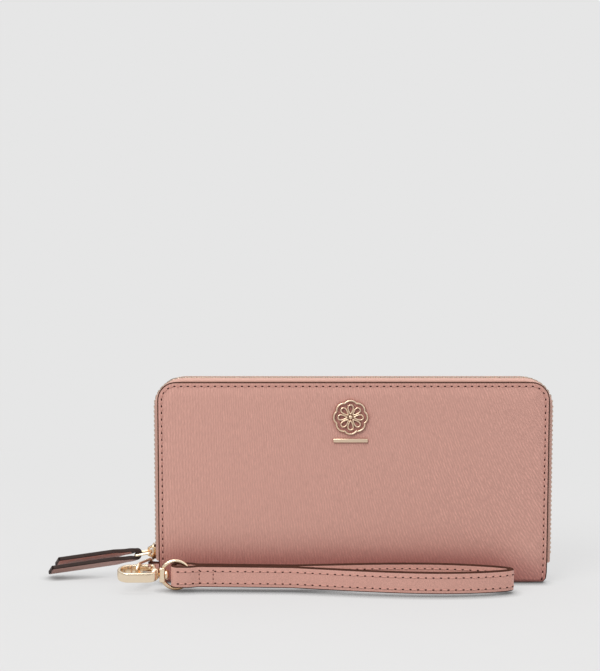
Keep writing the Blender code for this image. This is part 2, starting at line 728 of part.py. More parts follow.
def add_gate(body, materials):
    """Sprung lever that closes the gap in the far side of the loop."""
    knuckle = rod(GATE_PIN, GATE_KNUCKLE_RADIUS, SWIVEL_Z - GATE_KNUCKLE_HALF, SWIVEL_Z + GATE_KNUCKLE_HALF, "z")
    gate = body.add("snap_hook_gate", knuckle, materials["gold"])
    far = GATE_PIN[1] + BAND / 2
    near = GATE_PIN[1] - BAND / 2
    neck = box((GATE_PIN[0] - GATE_NECK[0], GATE_PIN[0] - GATE_NECK[1]), (near, far),
               (SWIVEL_Z - GATE_KNUCKLE_HALF, SWIVEL_Z + GATE_KNUCKLE_HALF))
    body.combine(gate, neck, "UNION")
    start = GATE_PIN[0] - GATE_LEVER_START
    lever = [(start, near), (start, far), (GATE_TIP + GATE_TIP_SLANT, far), (GATE_TIP, near)]
    body.combine(gate, prism(lever, SWIVEL_Z - BAND_HALF, SWIVEL_Z + BAND_HALF, "z"), "UNION")
    bore = GATE_PIN_RADIUS + RUNNING_GAP
    body.combine(gate, rod(GATE_PIN, bore, SWIVEL_Z - 2, SWIVEL_Z + 2, "z"), "DIFFERENCE")


def add_swivel_post(body, materials):
    """Rivet that holds the eye to the hook: shaft in the head, round head inside the eye."""
    shaft = rod((SWIVEL_Y, SWIVEL_Z), POST_RADIUS, POST_LEFT, POST_HEAD_RIGHT - POST_DOME, "x")
    post = body.add("swivel_post", shaft, materials["gold"])
    cap = rod((SWIVEL_Y, SWIVEL_Z), POST_HEAD_RADIUS, BOSS_RIGHT + POST_SEAT_GAP, POST_HEAD_RIGHT, "x", 20)
    body.combine(post, cap, "UNION")


def add_swivel_eye(body, materials):
    """Round eye with a flat boss that turns on the post."""
    steps = 36
    path = []
    for i in range(steps):
        angle = 2 * math.pi * i / steps
        x = EYE_X + EYE_RADIUS * math.cos(angle)
        path.append((x, SWIVEL_Y, SWIVEL_Z + EYE_RADIUS * math.sin(angle)))
    eye = body.add("swivel_eye", tube(path, EYE_WIRE), materials["gold"], smooth=True)
    boss = box((BOSS_LEFT, BOSS_RIGHT), (SWIVEL_Y - BOSS_HALF_Y, SWIVEL_Y + BOSS_HALF_Y),
               (SWIVEL_Z - BOSS_HALF_Z, SWIVEL_Z + BOSS_HALF_Z))
    body.combine(eye, boss, "UNION")
    hole = rod((SWIVEL_Y, SWIVEL_Z), POST_RADIUS + RUNNING_GAP, BOSS_LEFT - 1, BOSS_RIGHT + 1, "x")
    body.combine(eye, hole, "DIFFERENCE")


# ---------------------------------------------------------------- wrist strap

def strap_half_gap(x):
    """Half the space between the two plies at a place along the strap."""
    if x < STRAP_SPLIT:
        fold_end = STRAP_LEFT + STRAP_FOLD_LENGTH
        closing = smooth_step((x - fold_end) / (STRAP_TACK - fold_end))
        return STRAP_EYE_GAP + (STRAP_PLY_GAP - STRAP_EYE_GAP) * closing
    run = (x - STRAP_SPLIT) / (STRAP_RIGHT - STRAP_SPLIT)
    swell = max(math.sin(math.pi * run ** STRAP_SKEW), 0.0) ** STRAP_SWELL_POWER
    return STRAP_PLY_GAP + (STRAP_TIP_GAP - STRAP_PLY_GAP) * run + STRAP_BULGE * swell


def strap_middle(x):
    run = (x - STRAP_LEFT) / (STRAP_RIGHT - STRAP_LEFT)
    return SWIVEL_Y - STRAP_DRIFT * smooth_step(run)


def strap_loop(offset):
    """Closed plan outline of the strap at a distance out from its inner face."""
    stations = []
    for i in range(STRAP_STEPS + 1):
        stations.append(STRAP_LEFT + (STRAP_RIGHT - STRAP_LEFT) * i / STRAP_STEPS)
    stations = sorted(stations + [STRAP_LEFT + STRAP_FOLD_LENGTH, STRAP_TACK])
    loop = [(x, strap_middle(x) - strap_half_gap(x) - offset) for x in stations]
    end = (STRAP_RIGHT, strap_middle(STRAP_RIGHT))
    loop += arc(end, strap_half_gap(STRAP_RIGHT) + offset, -90, 90)[1:-1]
    loop += [(x, strap_middle(x) + strap_half_gap(x) + offset) for x in reversed(stations)]
    start = (STRAP_LEFT, strap_middle(STRAP_LEFT))
    loop += arc(start, strap_half_gap(STRAP_LEFT) + offset, 90, 270)[1:-1]
    return loop


def strap_height(x, y):
    """Middle height of the band; the loop leans, so its rear ply sits a little higher."""
    run = (x - STRAP_LEFT) / (STRAP_RIGHT - STRAP_LEFT)
    return STRAP_Z_LEFT + (STRAP_Z_RIGHT - STRAP_Z_LEFT) * run + STRAP_TILT * (y - strap_middle(x))


def add_strap_layer(body, name, inner, outer, material):
    """One leather layer all the way round the strap's closed loop."""
    rings = []
    for inside, outside in zip(strap_loop(inner), strap_loop(outer)):
        ring = []
        for (x, y), side in ((inside, -1), (outside, -1), (outside, 1), (inside, 1)):
            ring.append((x, y, strap_height(x, y) + side * STRAP_HALF_HEIGHT))
        rings.append(ring)
    body.add(name, loft(rings, closed=True), material)


# ---------------------------------------------------------------- front ornament

def add_ornament(body, materials):
    """Pierced gold rosette with a plain bar below it."""
    outline = []
    steps = ORNAMENT_PETALS * 8
    for i in range(steps):
        angle = 2 * math.pi * i / steps
        radius = ORNAMENT_RADIUS + ORNAMENT_LOBE * math.cos(ORNAMENT_PETALS * angle)
        outline.append((ORNAMENT_X + radius * math.cos(angle), ORNAMENT_Z + radius * math.sin(angle)))
    near = -HALF_DEPTH - ORNAMENT_SHEET - SHEET_GAP
    far = -HALF_DEPTH - SHEET_GAP
    rosette = body.add("ornament_rosette", prism(outline, near, far, "y"), materials["gold"])
    for i in range(ORNAMENT_PETALS):
        angle = 2 * math.pi * i / ORNAMENT_PETALS
        centre = (ORNAMENT_X + ORNAMENT_HOLE_RING * math.cos(angle),
                  ORNAMENT_Z + ORNAMENT_HOLE_RING * math.sin(angle))
        body.combine(rosette, rod(centre, ORNAMENT_HOLE, near - 1, far + 1, "y", 12), "DIFFERENCE")
    half_x, half_z = BAR_HALF
    shape = box((ORNAMENT_X - half_x, ORNAMENT_X + half_x), (near, far), (BAR_Z - half_z, BAR_Z + half_z))
    body.add("ornament_bar", shape, materials["gold"])


# ---------------------------------------------------------------- assembly

def main():
    clear_scene()
    materials = {
        "leather": make_material("rose_leather", (0.60, 0.33, 0.27), 0.5),
        "lining": make_material("rose_lining", (0.55, 0.31, 0.26), 0.7),
        "board": make_material("grey_board", (0.35, 0.32, 0.30), 0.9),
        "tape": make_material("salmon_tape", (0.68, 0.42, 0.36), 0.8),
        "gold": make_material("pale_gold", (0.86, 0.66, 0.45), 0.25, 1.0),
        "steel": make_material("spring_steel", (0.55, 0.55, 0.56), 0.35, 1.0),
    }

    case = Body("case")
    add_cover(case, "front", -1, materials)
    add_spine(case, materials)
    add_zip_side(case, "front", -1, materials)
    add_zip_end_stop(case, materials)
    add_card_slots(case, "front", -1, materials)
    add_gusset(case, "left_gusset", -1, materials)
    add_gusset(case, "right_gusset", 1, materials)
    add_ring_tab(case, materials)
    add_ornament(case, materials)

    cover = Body("back_cover", (0.0, HINGE_Y, HINGE_Z), case)
    add_cover(cover, "back", 1, materials)
    add_zip_side(cover, "back", 1, materials)
    add_card_slots(cover, "back", 1, materials)

    pocket = Body("coin_pocket", (0.0, HINGE_Y, HINGE_Z), case)
    add_coin_pocket(pocket, materials)
    coin_slider = Body("coin_slider", (COIN_SLIDER_LEFT, 0.0, COIN_TAPE_TOP), pocket)
    add_coin_slider(coin_slider, materials)
    coin_puller = Body("coin_puller", coin_pull_axis(), coin_slider)
    add_coin_puller(coin_puller, materials)

    slider = Body("zip_slider", (-HALF_WIDTH, 0.0, SLIDER_LOW), case)
    add_slider(slider, materials)
    link = Body("pull_link", (LINK_NEAR[0], 0.0, LINK_NEAR[1]), slider)
    add_pull_link(link, materials)
    puller = Body("puller", (LINK_FAR[0], 0.0, LINK_FAR[1]), link)
    add_puller(puller, materials)

    ring = Body("d_ring", (*RING_BAR, RING_Z), case)
    add_d_ring(ring, materials)
    hook = Body("snap_hook", (*HOOK_PIVOT, SWIVEL_Z), ring)
    add_snap_hook(hook, materials)
    add_gate_pin(hook, materials)
    add_gate_spring(hook, materials)
    add_swivel_post(hook, materials)
    gate = Body("gate", (*GATE_PIN, SWIVEL_Z), hook)
    add_gate(gate, materials)
    eye = Body("swivel_eye", (EYE_X, SWIVEL_Y, SWIVEL_Z), hook)
    add_swivel_eye(eye, materials)
    strap = Body("strap", (STRAP_PIVOT_X, SWIVEL_Y, SWIVEL_Z), eye)
    layer = STRAP_LAYER
    add_strap_layer(strap, "strap_inner_leather", 0.0, layer, materials["leather"])
    add_strap_layer(strap, "strap_outer_leather", layer + SHEET_GAP, 2 * layer + SHEET_GAP, materials["leather"])


main()
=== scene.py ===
"""Looks of the zip-around wristlet wallet: leather, stitching, zip, gold hardware, stage and camera.

Shapes are worked out in millimetres in the frame's axes (+X right, +Y away, +Z up) and turned into
metres when a mesh is made.
"""

import json
import math

import bpy
import bmesh
import numpy as np
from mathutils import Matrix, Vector


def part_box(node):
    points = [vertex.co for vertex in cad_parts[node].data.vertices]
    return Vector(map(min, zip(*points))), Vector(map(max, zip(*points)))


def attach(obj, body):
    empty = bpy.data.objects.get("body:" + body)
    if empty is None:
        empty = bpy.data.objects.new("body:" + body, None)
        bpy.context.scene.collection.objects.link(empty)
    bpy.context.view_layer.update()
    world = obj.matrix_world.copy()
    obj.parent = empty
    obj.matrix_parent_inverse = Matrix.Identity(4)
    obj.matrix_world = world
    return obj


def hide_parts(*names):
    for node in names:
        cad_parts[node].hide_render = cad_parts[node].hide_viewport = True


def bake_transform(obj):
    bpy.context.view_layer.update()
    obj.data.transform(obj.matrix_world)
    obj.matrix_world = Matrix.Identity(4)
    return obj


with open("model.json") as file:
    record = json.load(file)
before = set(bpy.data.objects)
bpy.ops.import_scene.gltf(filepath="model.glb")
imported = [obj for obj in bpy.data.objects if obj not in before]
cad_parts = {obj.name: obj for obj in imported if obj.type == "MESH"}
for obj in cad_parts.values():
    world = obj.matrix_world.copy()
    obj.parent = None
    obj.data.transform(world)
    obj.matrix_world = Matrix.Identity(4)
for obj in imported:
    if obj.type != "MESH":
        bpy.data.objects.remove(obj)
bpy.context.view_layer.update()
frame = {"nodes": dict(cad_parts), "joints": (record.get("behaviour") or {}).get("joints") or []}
MM = 0.001


def node_box(name):
    low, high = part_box(name)
    return np.array(low) / MM, np.array(high) / MM


# ---------------------------------------------------------------- dimensions taken from the frame

_, COVER_HIGH = node_box("front_cover_leather")
HALF_WIDTH, _, HEIGHT = COVER_HIGH
HALF_DEPTH = node_box("back_cover_leather")[1][1]
TOP_RADIUS = 9.2
ZIP_RADIUS = 13.5
SPINE_BEND = 2.2

TAPE_FOOT = node_box("front_zip_tape")[0][2]
TEETH_FOOT = node_box("front_zip_teeth")[0][2]
EYE_LOW, EYE_HIGH = node_box("swivel_eye")
HOOK_LOW, HOOK_HIGH = node_box("snap_hook_body")
# side of the closed wallet (-1 front, +1 back), the body it rides on and its name
COVERS = ((-1, "case", "front"), (1, "back_cover", "back"))


def joint_place(name):
    places = {joint["name"]: joint.get("pos_m") for joint in frame["joints"]}
    return np.array(places[name]) / MM


# ---------------------------------------------------------------- colours (linear)

ROSE = (0.590, 0.314, 0.260)
ROSE_DEEP = (0.50, 0.262, 0.214)
PLUM = (0.042, 0.015, 0.009)
NEAR_BLACK = (0.030, 0.019, 0.017)
THREAD = (0.56, 0.285, 0.23)
HOLE = (0.045, 0.012, 0.010)
SALMON = (0.505, 0.288, 0.232)
GOLD = (0.90, 0.76, 0.58)
SATIN_GOLD = (0.80, 0.63, 0.48)
ZIP_GOLD = (0.60, 0.47, 0.37)
STEEL = (0.55, 0.54, 0.52)
DARK_PULP = (0.24, 0.22, 0.20)
PALE_PULP = (0.36, 0.33, 0.30)
# tint of the painted shade and warm reflection inside the gold hardware
PAINTED_WARM_SHADE_TINT = (0.74, 0.50, 0.30)
# tint of the painted shade on the cover leather where other parts or the floor stand close by
PAINTED_SHADE_TINT = (0.62, 0.44, 0.45)
BACKDROP = 0.791

# Leather grain: texture scales, and how it changes from the left to the right of the cover. Those two rows
# give the value at either end (radians for the lean), then the ends themselves in metres.
STREAK_SCALE = 2300.0
RIDGE_SCALE = 215.0
FINE_SCALE = 4200.0
STREAK_LEAN = (0.02, 0.52, -0.07, 0.09)
STREAK_REACH = (0.9, 1.45, -0.08, 0.07)


# ---------------------------------------------------------------- node materials

class Nodes:
    """Adds, sets and links the shader nodes of one material or of the world."""

    def __init__(self, owner):
        owner.use_nodes = True
        self.owner = owner
        self.tree = owner.node_tree

    def feed(self, socket, value):
        """Link a socket or a node's first output, or set a plain value."""
        if isinstance(value, bpy.types.Node):
            value = value.outputs[0]
        if isinstance(value, bpy.types.NodeSocket):
            self.tree.links.new(value, socket)
        elif socket.type == "RGBA":
            socket.default_value = (*value, 1.0)
        else:
            socket.default_value = value

    def add(self, kind, inputs=None, **settings):
        node = self.tree.nodes.new("ShaderNode" + kind)
        for key, value in settings.items():
            setattr(node, key, value)
        for key, value in (inputs or {}).items():
            self.feed(node.inputs[key], value)
        return node

    def place(self):
        return self.add("TexCoord").outputs["Object"]

    def math(self, operation, first, second=0.5):
        return self.add("Math", {0: first, 1: second}, operation=operation).outputs[0]

    def noise(self, vector, scale, detail=3.0, roughness=0.55):
        inputs = {"Vector": vector, "Scale": scale, "Detail": detail, "Roughness": roughness}
        return self.add("TexNoise", inputs).outputs["Fac"]

    def bands(self, vector, direction, scale, distortion, detail_scale=1.0):
        inputs = {"Vector": vector, "Scale": scale, "Distortion": distortion, "Detail Scale": detail_scale}
        return self.add("TexWave", inputs, wave_type="BANDS", bands_direction=direction).outputs["Fac"]

    def mix_colour(self, factor, first, second, mode="MIX"):
        return self.add("Mix", {0: factor, 6: first, 7: second}, data_type="RGBA", blend_type=mode).outputs[2]

    def spread(self, value, low, high, from_low=0.3, from_high=0.7):
        """Turn from_low..from_high into low..high; the defaults are a noise's usual range."""
        ends = {"From Min": from_low, "From Max": from_high, "To Min": low, "To Max": high}
        return self.add("MapRange", {"Value": value, **ends}).outputs[0]

    def openness(self, distance, shut, free, low, high):
        """Value from shut to free, as the open share of the space within a distance goes from low to high."""
        around = self.add("AmbientOcclusion", {"Distance": distance}, samples=6)
        return self.spread(around.outputs["AO"], shut, free, low, high)

    def bump(self, height, strength, distance, under=None):
        """Relief on top of the one under it; distance in metres."""
        relief = self.add("Bump", {"Height": height, "Strength": strength, "Distance": distance})
        if under is not None:
            self.feed(relief.inputs["Normal"], under)
        return relief.outputs[0]

    def finish(self, colour, roughness, normal, **inputs):
        values = {"Base Color": colour, "Roughness": roughness, "Normal": normal}
        values.update((key.replace("_", " "), value) for key, value in inputs.items())
        for key, value in values.items():
            self.feed(self.tree.nodes["Principled BSDF"].inputs[key], value)
        return self.owner


def material_nodes(name):
    return Nodes(bpy.data.materials.new(name))


def scaled(colour, factor):
    return tuple(channel * factor for channel in colour)


def leather_material(name, colour, grain=1.0, combed=1.0, painted_shade=False):
    """Cross-grain leather: long soft streaks that lean over towards the right, fine pores, satin sheen.

    combed sets how long and even the streaks are; the last switch paints shade into the colour, darker and
    redder close to its neighbours.
    """
    nodes = material_nodes(name)
    place = nodes.place()
    across = nodes.add("SeparateXYZ", {0: place}).outputs[0]
    lean = nodes.spread(across, *STREAK_LEAN)
    turned = nodes.add("VectorRotate", {"Vector": place, "Angle": lean}, rotation_type="Y_AXIS")
    stretched = nodes.add("Mapping", {"Vector": turned, "Scale": (1.0, 1.0, 0.9 - 0.75 * combed)})
    streak = nodes.noise(stretched, STREAK_SCALE, 3.0, 0.7)
    ridges = nodes.bands(turned, "X", RIDGE_SCALE, 3.5, 2.0)
    fine = nodes.noise(stretched, FINE_SCALE, 2.0, 0.6)
    cloud = nodes.noise(place, 28.0, 3.0, 0.5)
    pores = nodes.add("TexVoronoi", {"Vector": place, "Scale": STREAK_SCALE}, feature="F1")
    reach = nodes.spread(across, *STREAK_REACH)
    swing = nodes.math("MULTIPLY", nodes.math("SUBTRACT", streak, 0.5), reach)
    tone = nodes.spread(swing, 0.0, 1.0, -0.2, 0.2)
    base = nodes.mix_colour(tone, scaled(colour, 0.79), scaled(colour, 1.25))
    ridge = nodes.math("MULTIPLY", nodes.spread(ridges, 0.0, 0.6 * combed, 0.0, 1.0), reach)
    base = nodes.mix_colour(ridge, base, scaled(colour, 0.80))
    base = nodes.mix_colour(nodes.spread(cloud, 0.0, 0.35), base, scaled(colour, 0.93))
    base = nodes.mix_colour(nodes.spread(fine, 0.0, 0.25), base, scaled(colour, 1.17))
    rough = nodes.math("ADD", nodes.spread(streak, 0.42, 0.52), nodes.spread(cloud, -0.03, 0.04))
    # painted shade: the colour turns darker and redder where other parts or the floor stand close by
    if painted_shade:
        base = nodes.mix_colour(nodes.openness(0.02, 1.0, 0.0, 0.55, 0.95), base, PAINTED_SHADE_TINT, "MULTIPLY")
    relief = nodes.bump(streak, 0.6 * grain, 0.00022)
    relief = nodes.bump(ridges, 0.5 * grain * combed, 0.00018, relief)
    relief = nodes.bump(fine, 0.22 * grain, 0.00006, relief)
    relief = nodes.bump(pores.outputs["Distance"], 0.20 * grain, 0.00005, relief)
    return nodes.finish(base, rough, relief, Specular_IOR_Level=0.45, Sheen_Weight=0.08, Sheen_Roughness=0.5)


def paint_material(name, colour):
    """Painted leather edge: dark, slightly uneven, with a soft shine."""
    nodes = material_nodes(name)
    ripple = nodes.noise(nodes.place(), 700.0)
    worn = nodes.noise(nodes.place(), 160.0, 2.0)
    base = nodes.mix_colour(nodes.spread(worn, 0.0, 0.6), colour, scaled(colour, 1.7))
    rough = nodes.spread(ripple, 0.5, 0.68)
    return nodes.finish(base, rough, nodes.bump(ripple, 0.35, 0.0001), Specular_IOR_Level=0.1)


def thread_material(name, colour):
    """Twisted sewing thread."""
    nodes = material_nodes(name)
    turned = nodes.add("Mapping", {"Vector": nodes.place(), "Rotation": (0.5, 0.7, 0.3)})
    twist = nodes.bands(turned, "DIAGONAL", 900.0, 1.0)
    base = nodes.mix_colour(twist, scaled(colour, 0.8), scaled(colour, 1.12))
    return nodes.finish(base, 0.6, nodes.bump(twist, 0.4, 0.00008), Sheen_Weight=0.2)


def hole_material(name, colour):
    """Shadowed needle hole."""
    nodes = material_nodes(name)
    grain = nodes.noise(nodes.place(), 1800.0)
    base = nodes.mix_colour(nodes.spread(grain, 0.0, 1.0), scaled(colour, 0.8), scaled(colour, 1.25))
    return nodes.finish(base, 0.85, nodes.bump(grain, 0.3, 0.00005), Specular_IOR_Level=0.1)


def woven_material(name, colour, thread=0.42):
    """Plain weave that follows the mesh's own run and width; thread is its spacing in millimetres."""
    nodes = material_nodes(name)
    split = nodes.add("SeparateXYZ", {0: nodes.add("Attribute", attribute_name="weave").outputs["Vector"]})
    waves = [nodes.math("SINE", nodes.math("MULTIPLY", split.outputs[k], math.pi / thread)) for k in (0, 1)]
    checks = nodes.math("MULTIPLY", *waves)
    height = nodes.spread(checks, 0.0, 1.0, -1.0, 1.0)
    fuzz = nodes.noise(nodes.place(), 2600.0)
    cloud = nodes.noise(nodes.place(), 90.0)
    base = nodes.mix_colour(height, scaled(colour, 0.84), scaled(colour, 1.08))
    base = nodes.mix_colour(nodes.spread(fuzz, 0.0, 0.3), base, scaled(colour, 0.8))
    base = nodes.mix_colour(nodes.spread(cloud, 0.0, 0.25), base, scaled(colour, 1.1))
    relief = nodes.bump(height, 0.5, 0.00012, nodes.bump(fuzz, 0.2, 0.00005))
    return nodes.finish(base, 0.78, relief, Sheen_Weight=0.1, Sheen_Roughness=0.4)


def lining_material(name, colour):
    """Fine twill lining seen by its diagonal ribs."""
    nodes = material_nodes(name)
    flat = nodes.add("Mapping", {"Vector": nodes.place(), "Scale": (1.0, 0.0, 1.0)})
    twill = nodes.bands(flat, "DIAGONAL", 420.0, 0.6)
    fuzz = nodes.noise(nodes.place(), 1500.0)
    cloud = nodes.noise(nodes.place(), 30.0)
    base = nodes.mix_colour(twill, scaled(colour, 0.86), scaled(colour, 1.06))
    base = nodes.mix_colour(nodes.spread(cloud, 0.0, 0.3), base, scaled(colour, 0.85))
    relief = nodes.bump(twill, 0.35, 0.00008, nodes.bump(fuzz, 0.25, 0.00005))
    return nodes.finish(base, 0.75, relief, Sheen_Weight=0.15)


def metal_material(name, colour, rough=0.16, brushed=0.0, painted_warm_shade=False):
    """Plated metal with faint polishing marks and dents of tone.

    the last switch paints shade and a warm reflection into the colour, darker and more amber where the metal
    faces itself.
    """
    nodes = material_nodes(name)
    cloud = nodes.noise(nodes.place(), 120.0, 2.0)
    brush = nodes.add("Mapping", {"Vector": nodes.place(), "Scale": (0.2, 1.0, 1.0)})
    scratch = nodes.noise(brush, 5200.0, 2.0)
    wave = nodes.noise(nodes.place(), 330.0, 2.0)
    warmer = tuple(channel * factor for channel, factor in zip(colour, (0.97, 0.9, 0.8)))
    base = nodes.mix_colour(nodes.spread(cloud, 0.0, 0.5), colour, warmer)
    # painted shade and warm reflection: darker and more amber where the metal faces itself
    if painted_warm_shade:
        base = nodes.mix_colour(nodes.openness(0.006, 1.0, 0.0, 0.35, 0.80), base, PAINTED_WARM_SHADE_TINT, "MULTIPLY")
    marks = nodes.spread(scratch, 0.0, 0.05 + brushed)
    roughness = nodes.math("ADD", nodes.spread(cloud, rough * 0.8, rough * 1.3), marks)
    relief = nodes.bump(wave, 0.05, 0.00012, nodes.bump(scratch, 0.03 + brushed, 0.00002))
    return nodes.finish(base, roughness, relief, Metallic=1.0)


def board_material(name, dark, pale):
    """Pulp board with visible fibres."""
    nodes = material_nodes(name)
    pulp = nodes.noise(nodes.place(), 900.0, 5.0)
    base = nodes.mix_colour(nodes.spread(pulp, 0.0, 1.0), dark, pale)
    return nodes.finish(base, 0.9, nodes.bump(pulp, 0.4, 0.0002))


MATERIALS = {
    # cover leather with painted shade near its neighbours
    "leather": leather_material("rose_cover_leather", ROSE, painted_shade=True),
    "strap": leather_material("rose_strap_leather", scaled(ROSE, 0.97), 0.8, 0.1),
    "deep": leather_material("rose_inner_leather", ROSE_DEEP, 0.8, 0.3),
    "plum": paint_material("plum_edge_paint", PLUM),
    "black": paint_material("dark_edge_paint", NEAR_BLACK),
    "thread": thread_material("rose_thread", THREAD),
    "hole": hole_material("needle_hole", HOLE),
    "tape": woven_material("salmon_zip_tape", SALMON),
    "lining": lining_material("rose_twill_lining", ROSE_DEEP),
    # gold with painted shade and warm reflection where it faces itself
    "gold": metal_material("pale_gold_plate", GOLD, painted_warm_shade=True),
    "satin_gold": metal_material("satin_gold_plate", SATIN_GOLD, 0.30),
    "zip_gold": metal_material("zip_gold_plate", ZIP_GOLD, 0.30),
    "steel": metal_material("spring_steel", STEEL, 0.3, 0.1),
    "board": board_material("pulp_board", DARK_PULP, PALE_PULP),
}


# ---------------------------------------------------------------- mesh building

class Shape:
    """Collects points, faces and material numbers for one piece."""

    def __init__(self):
        self.points = []
        self.faces = []
        self.looks = []
        self.weave = []

    def add(self, points, faces, look=0, weave=None):
        base = len(self.points)
        self.points += [tuple(point) for point in points]
        self.faces += [tuple(base + index for index in face) for face in faces]
        if isinstance(look, int):
            look = [look] * len(faces)
        self.looks += list(look)
        self.weave += list(weave) if weave is not None else [(0.0, 0.0, 0.0)] * len(points)

    def sweep(self, rings, looks=0, closed=False, ends=True, weave=None):
        """Skin rings of points; looks gives one material number for each side of the ring."""
        rings = [np.asarray(ring, float) for ring in rings]
        count = len(rings[0])
        faces = []
        used = []
        total = len(rings)
        for i in range(total if closed else total - 1):
            after = (i + 1) % total
            for k in range(count):
                j = (k + 1) % count
                faces.append((i * count + k, i * count + j, after * count + j, after * count + k))
                used.append(looks if isinstance(looks, int) else looks[k])
        if ends and not closed:
            for start in (0, (total - 1) * count):
                faces.append(tuple(start + k for k in range(count)))
                used.append(looks if isinstance(looks, int) else looks[0])
        self.add(np.concatenate(rings), faces, used, weave)


def build(name, shape, body, materials, replaces=(), sharp=38.0, merge=False, bend=None):
    """Make the object, give it its materials and let it ride on its body; a piece given bend is left fixed
    where it is made.
    """
    mesh = bpy.data.meshes.new(name)
    mesh.from_pydata([tuple(MM * value for value in point) for point in shape.points], [], shape.faces)
    mesh.polygons.foreach_set("material_index", shape.looks)
    if any(any(value) for value in shape.weave):
        layer = mesh.attributes.new("weave", "FLOAT_VECTOR", "POINT")
        layer.data.foreach_set("vector", np.array(shape.weave, float).ravel())
    for key in materials:
        mesh.materials.append(MATERIALS[key])
    work = bmesh.new()
    work.from_mesh(mesh)
    if merge:
        bmesh.ops.remove_doubles(work, verts=work.verts, dist=0.002 * MM)
    bmesh.ops.recalc_face_normals(work, faces=work.faces)
    work.to_mesh(mesh)
    work.free()
    mesh.shade_smooth()
    mesh.set_sharp_from_angle(angle=math.radians(sharp))
    obj = bpy.data.objects.new(name, mesh)
    bpy.context.scene.collection.objects.link(obj)
    if bend:
        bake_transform(obj)
    else:
        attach(obj, body)
    if replaces:
        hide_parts(*replaces)
    return obj


def full_turn(count):
    return np.linspace(0, 2 * math.pi, count, endpoint=False)


def ellipse(centre, first, second, count):
    """Points round an ellipse given by its two half axes."""
    return [centre + math.cos(angle) * first + math.sin(angle) * second for angle in full_turn(count)]


def grid_faces(rows, columns):
    """Four-sided faces between rows of points."""
    return [(i * columns + j, i * columns + j + 1, (i + 1) * columns + j + 1, (i + 1) * columns + j)
            for i in range(rows - 1) for j in range(columns - 1)]


def bevelled(low, high, bevel):
    """(place, inset) pairs that round off both ends of a run."""
    return [(low, bevel), (low + 0.3 * bevel, 0.3 * bevel), (low + bevel, 0.0),
            (high - bevel, 0.0), (high - 0.3 * bevel, 0.3 * bevel), (high, bevel)]


def arc(centre, radius, start, end, steps):
    """Points on an arc with both ends; angles in degrees."""
    angles = np.radians(np.linspace(start, end, steps + 1))
    return [(centre[0] + radius * math.cos(a), centre[1] + radius * math.sin(a)) for a in angles]


def rounded_section(half_a, half_b, radius, steps=4, crown=0.0):
    """Rounded rectangle with slightly domed long faces; a runs across them, b along them."""
    section = []
    for sign_a, sign_b, start in ((1, 1, 0), (-1, 1, 90), (-1, -1, 180), (1, -1, 270)):
        centre = (sign_a * (half_a - radius), sign_b * (half_b - radius))
        section += arc(centre, radius, start, start + 90, steps)
        if sign_a < 0 < sign_b or (sign_a > 0 > sign_b):
            for part in (0.33, 0.66, 1.0, 1.34, 1.67):
                b = sign_b * (half_b - radius) * (1 - part)
                section.append((sign_a * (half_a + crown * (1 - (b / half_b) ** 2)), b))
    return section


def unit(vector):
    return vector / np.linalg.norm(vector)


def smooth_step(value):
    value = min(max(value, 0.0), 1.0)
    return value * value * (3 - 2 * value)


def resample(path, spacing, closed=False):
    """Even points along a polyline, about spacing apart."""
    path = np.asarray(path, float)
    if closed:
        path = np.vstack([path, path[:1]])
    steps = np.linalg.norm(np.diff(path, axis=0), axis=1)
    length = np.concatenate([[0.0], np.cumsum(steps)])
    count = max(int(round(length[-1] / spacing)), 2)
    marks = np.linspace(0.0, length[-1], count + 1)
    if closed:
        marks = marks[:-1]
    return np.column_stack([np.interp(marks, length, path[:, axis]) for axis in range(path.shape[1])])


def tangents(path, closed=False):
    path = np.asarray(path, float)
    last = len(path) - 1
    steps = []
    for i in range(last + 1):
        before = path[i - 1] if closed else path[max(i - 1, 0)]
        after = path[(i + 1) % (last + 1)] if closed else path[min(i + 1, last)]
        steps.append(unit(after - before))
    return np.array(steps)


def tube(shape, path, radius, normal, sides):
    """Round wire along a closed path that lies in the plane with this normal."""
    normal = unit(np.asarray(normal, float))
    path = np.asarray(path, float)
    rings = []
    for point, along in zip(path, tangents(path, True)):
        side = unit(np.cross(along, normal))
        rings.append(ellipse(point, radius * side, radius * normal, sides))
    shape.sweep(rings, closed=True)


def revolve(shape, origin, axis, profile, sides=32):
    """Turn (along, radius) points about an axis; both ends close."""
    axis = np.asarray(axis, float)
    helper = np.array([0.0, 0.0, 1.0]) if abs(axis[2]) < 0.9 else np.array([1.0, 0.0, 0.0])
    first = unit(np.cross(axis, helper))
    second = np.cross(axis, first)
    shape.sweep([ellipse(origin + along * axis, radius * first, radius * second, sides)
                 for along, radius in profile])


# pitch of the holes, radius of the thread, half axes of a hole, rise of the thread, gap in it at a hole
COVER_SEAM = {"pitch": 3.36, "radius": 0.26, "hole": (0.94, 0.56), "rise": 0.10, "gap": 1.1}
STRAP_SEAM = {"pitch": 3.67, "radius": 0.27, "hole": (0.76, 0.42), "rise": 0.06, "gap": 1.1}
TACK_SEAM = {"pitch": 1.97, "radius": 0.26, "hole": (0.45, 0.38), "rise": 0.06, "gap": 0.6}
SLOT_SEAM = {"pitch": 3.2, "radius": 0.22, "hole": (0.35, 0.25), "rise": 0.03, "gap": 1.1}
MIDDLE_SEAM = {**SLOT_SEAM, "pitch": 3.0}
THREAD_DIP = 0.12
THREAD_SIDES = 6
HOLE_SIDES = 8


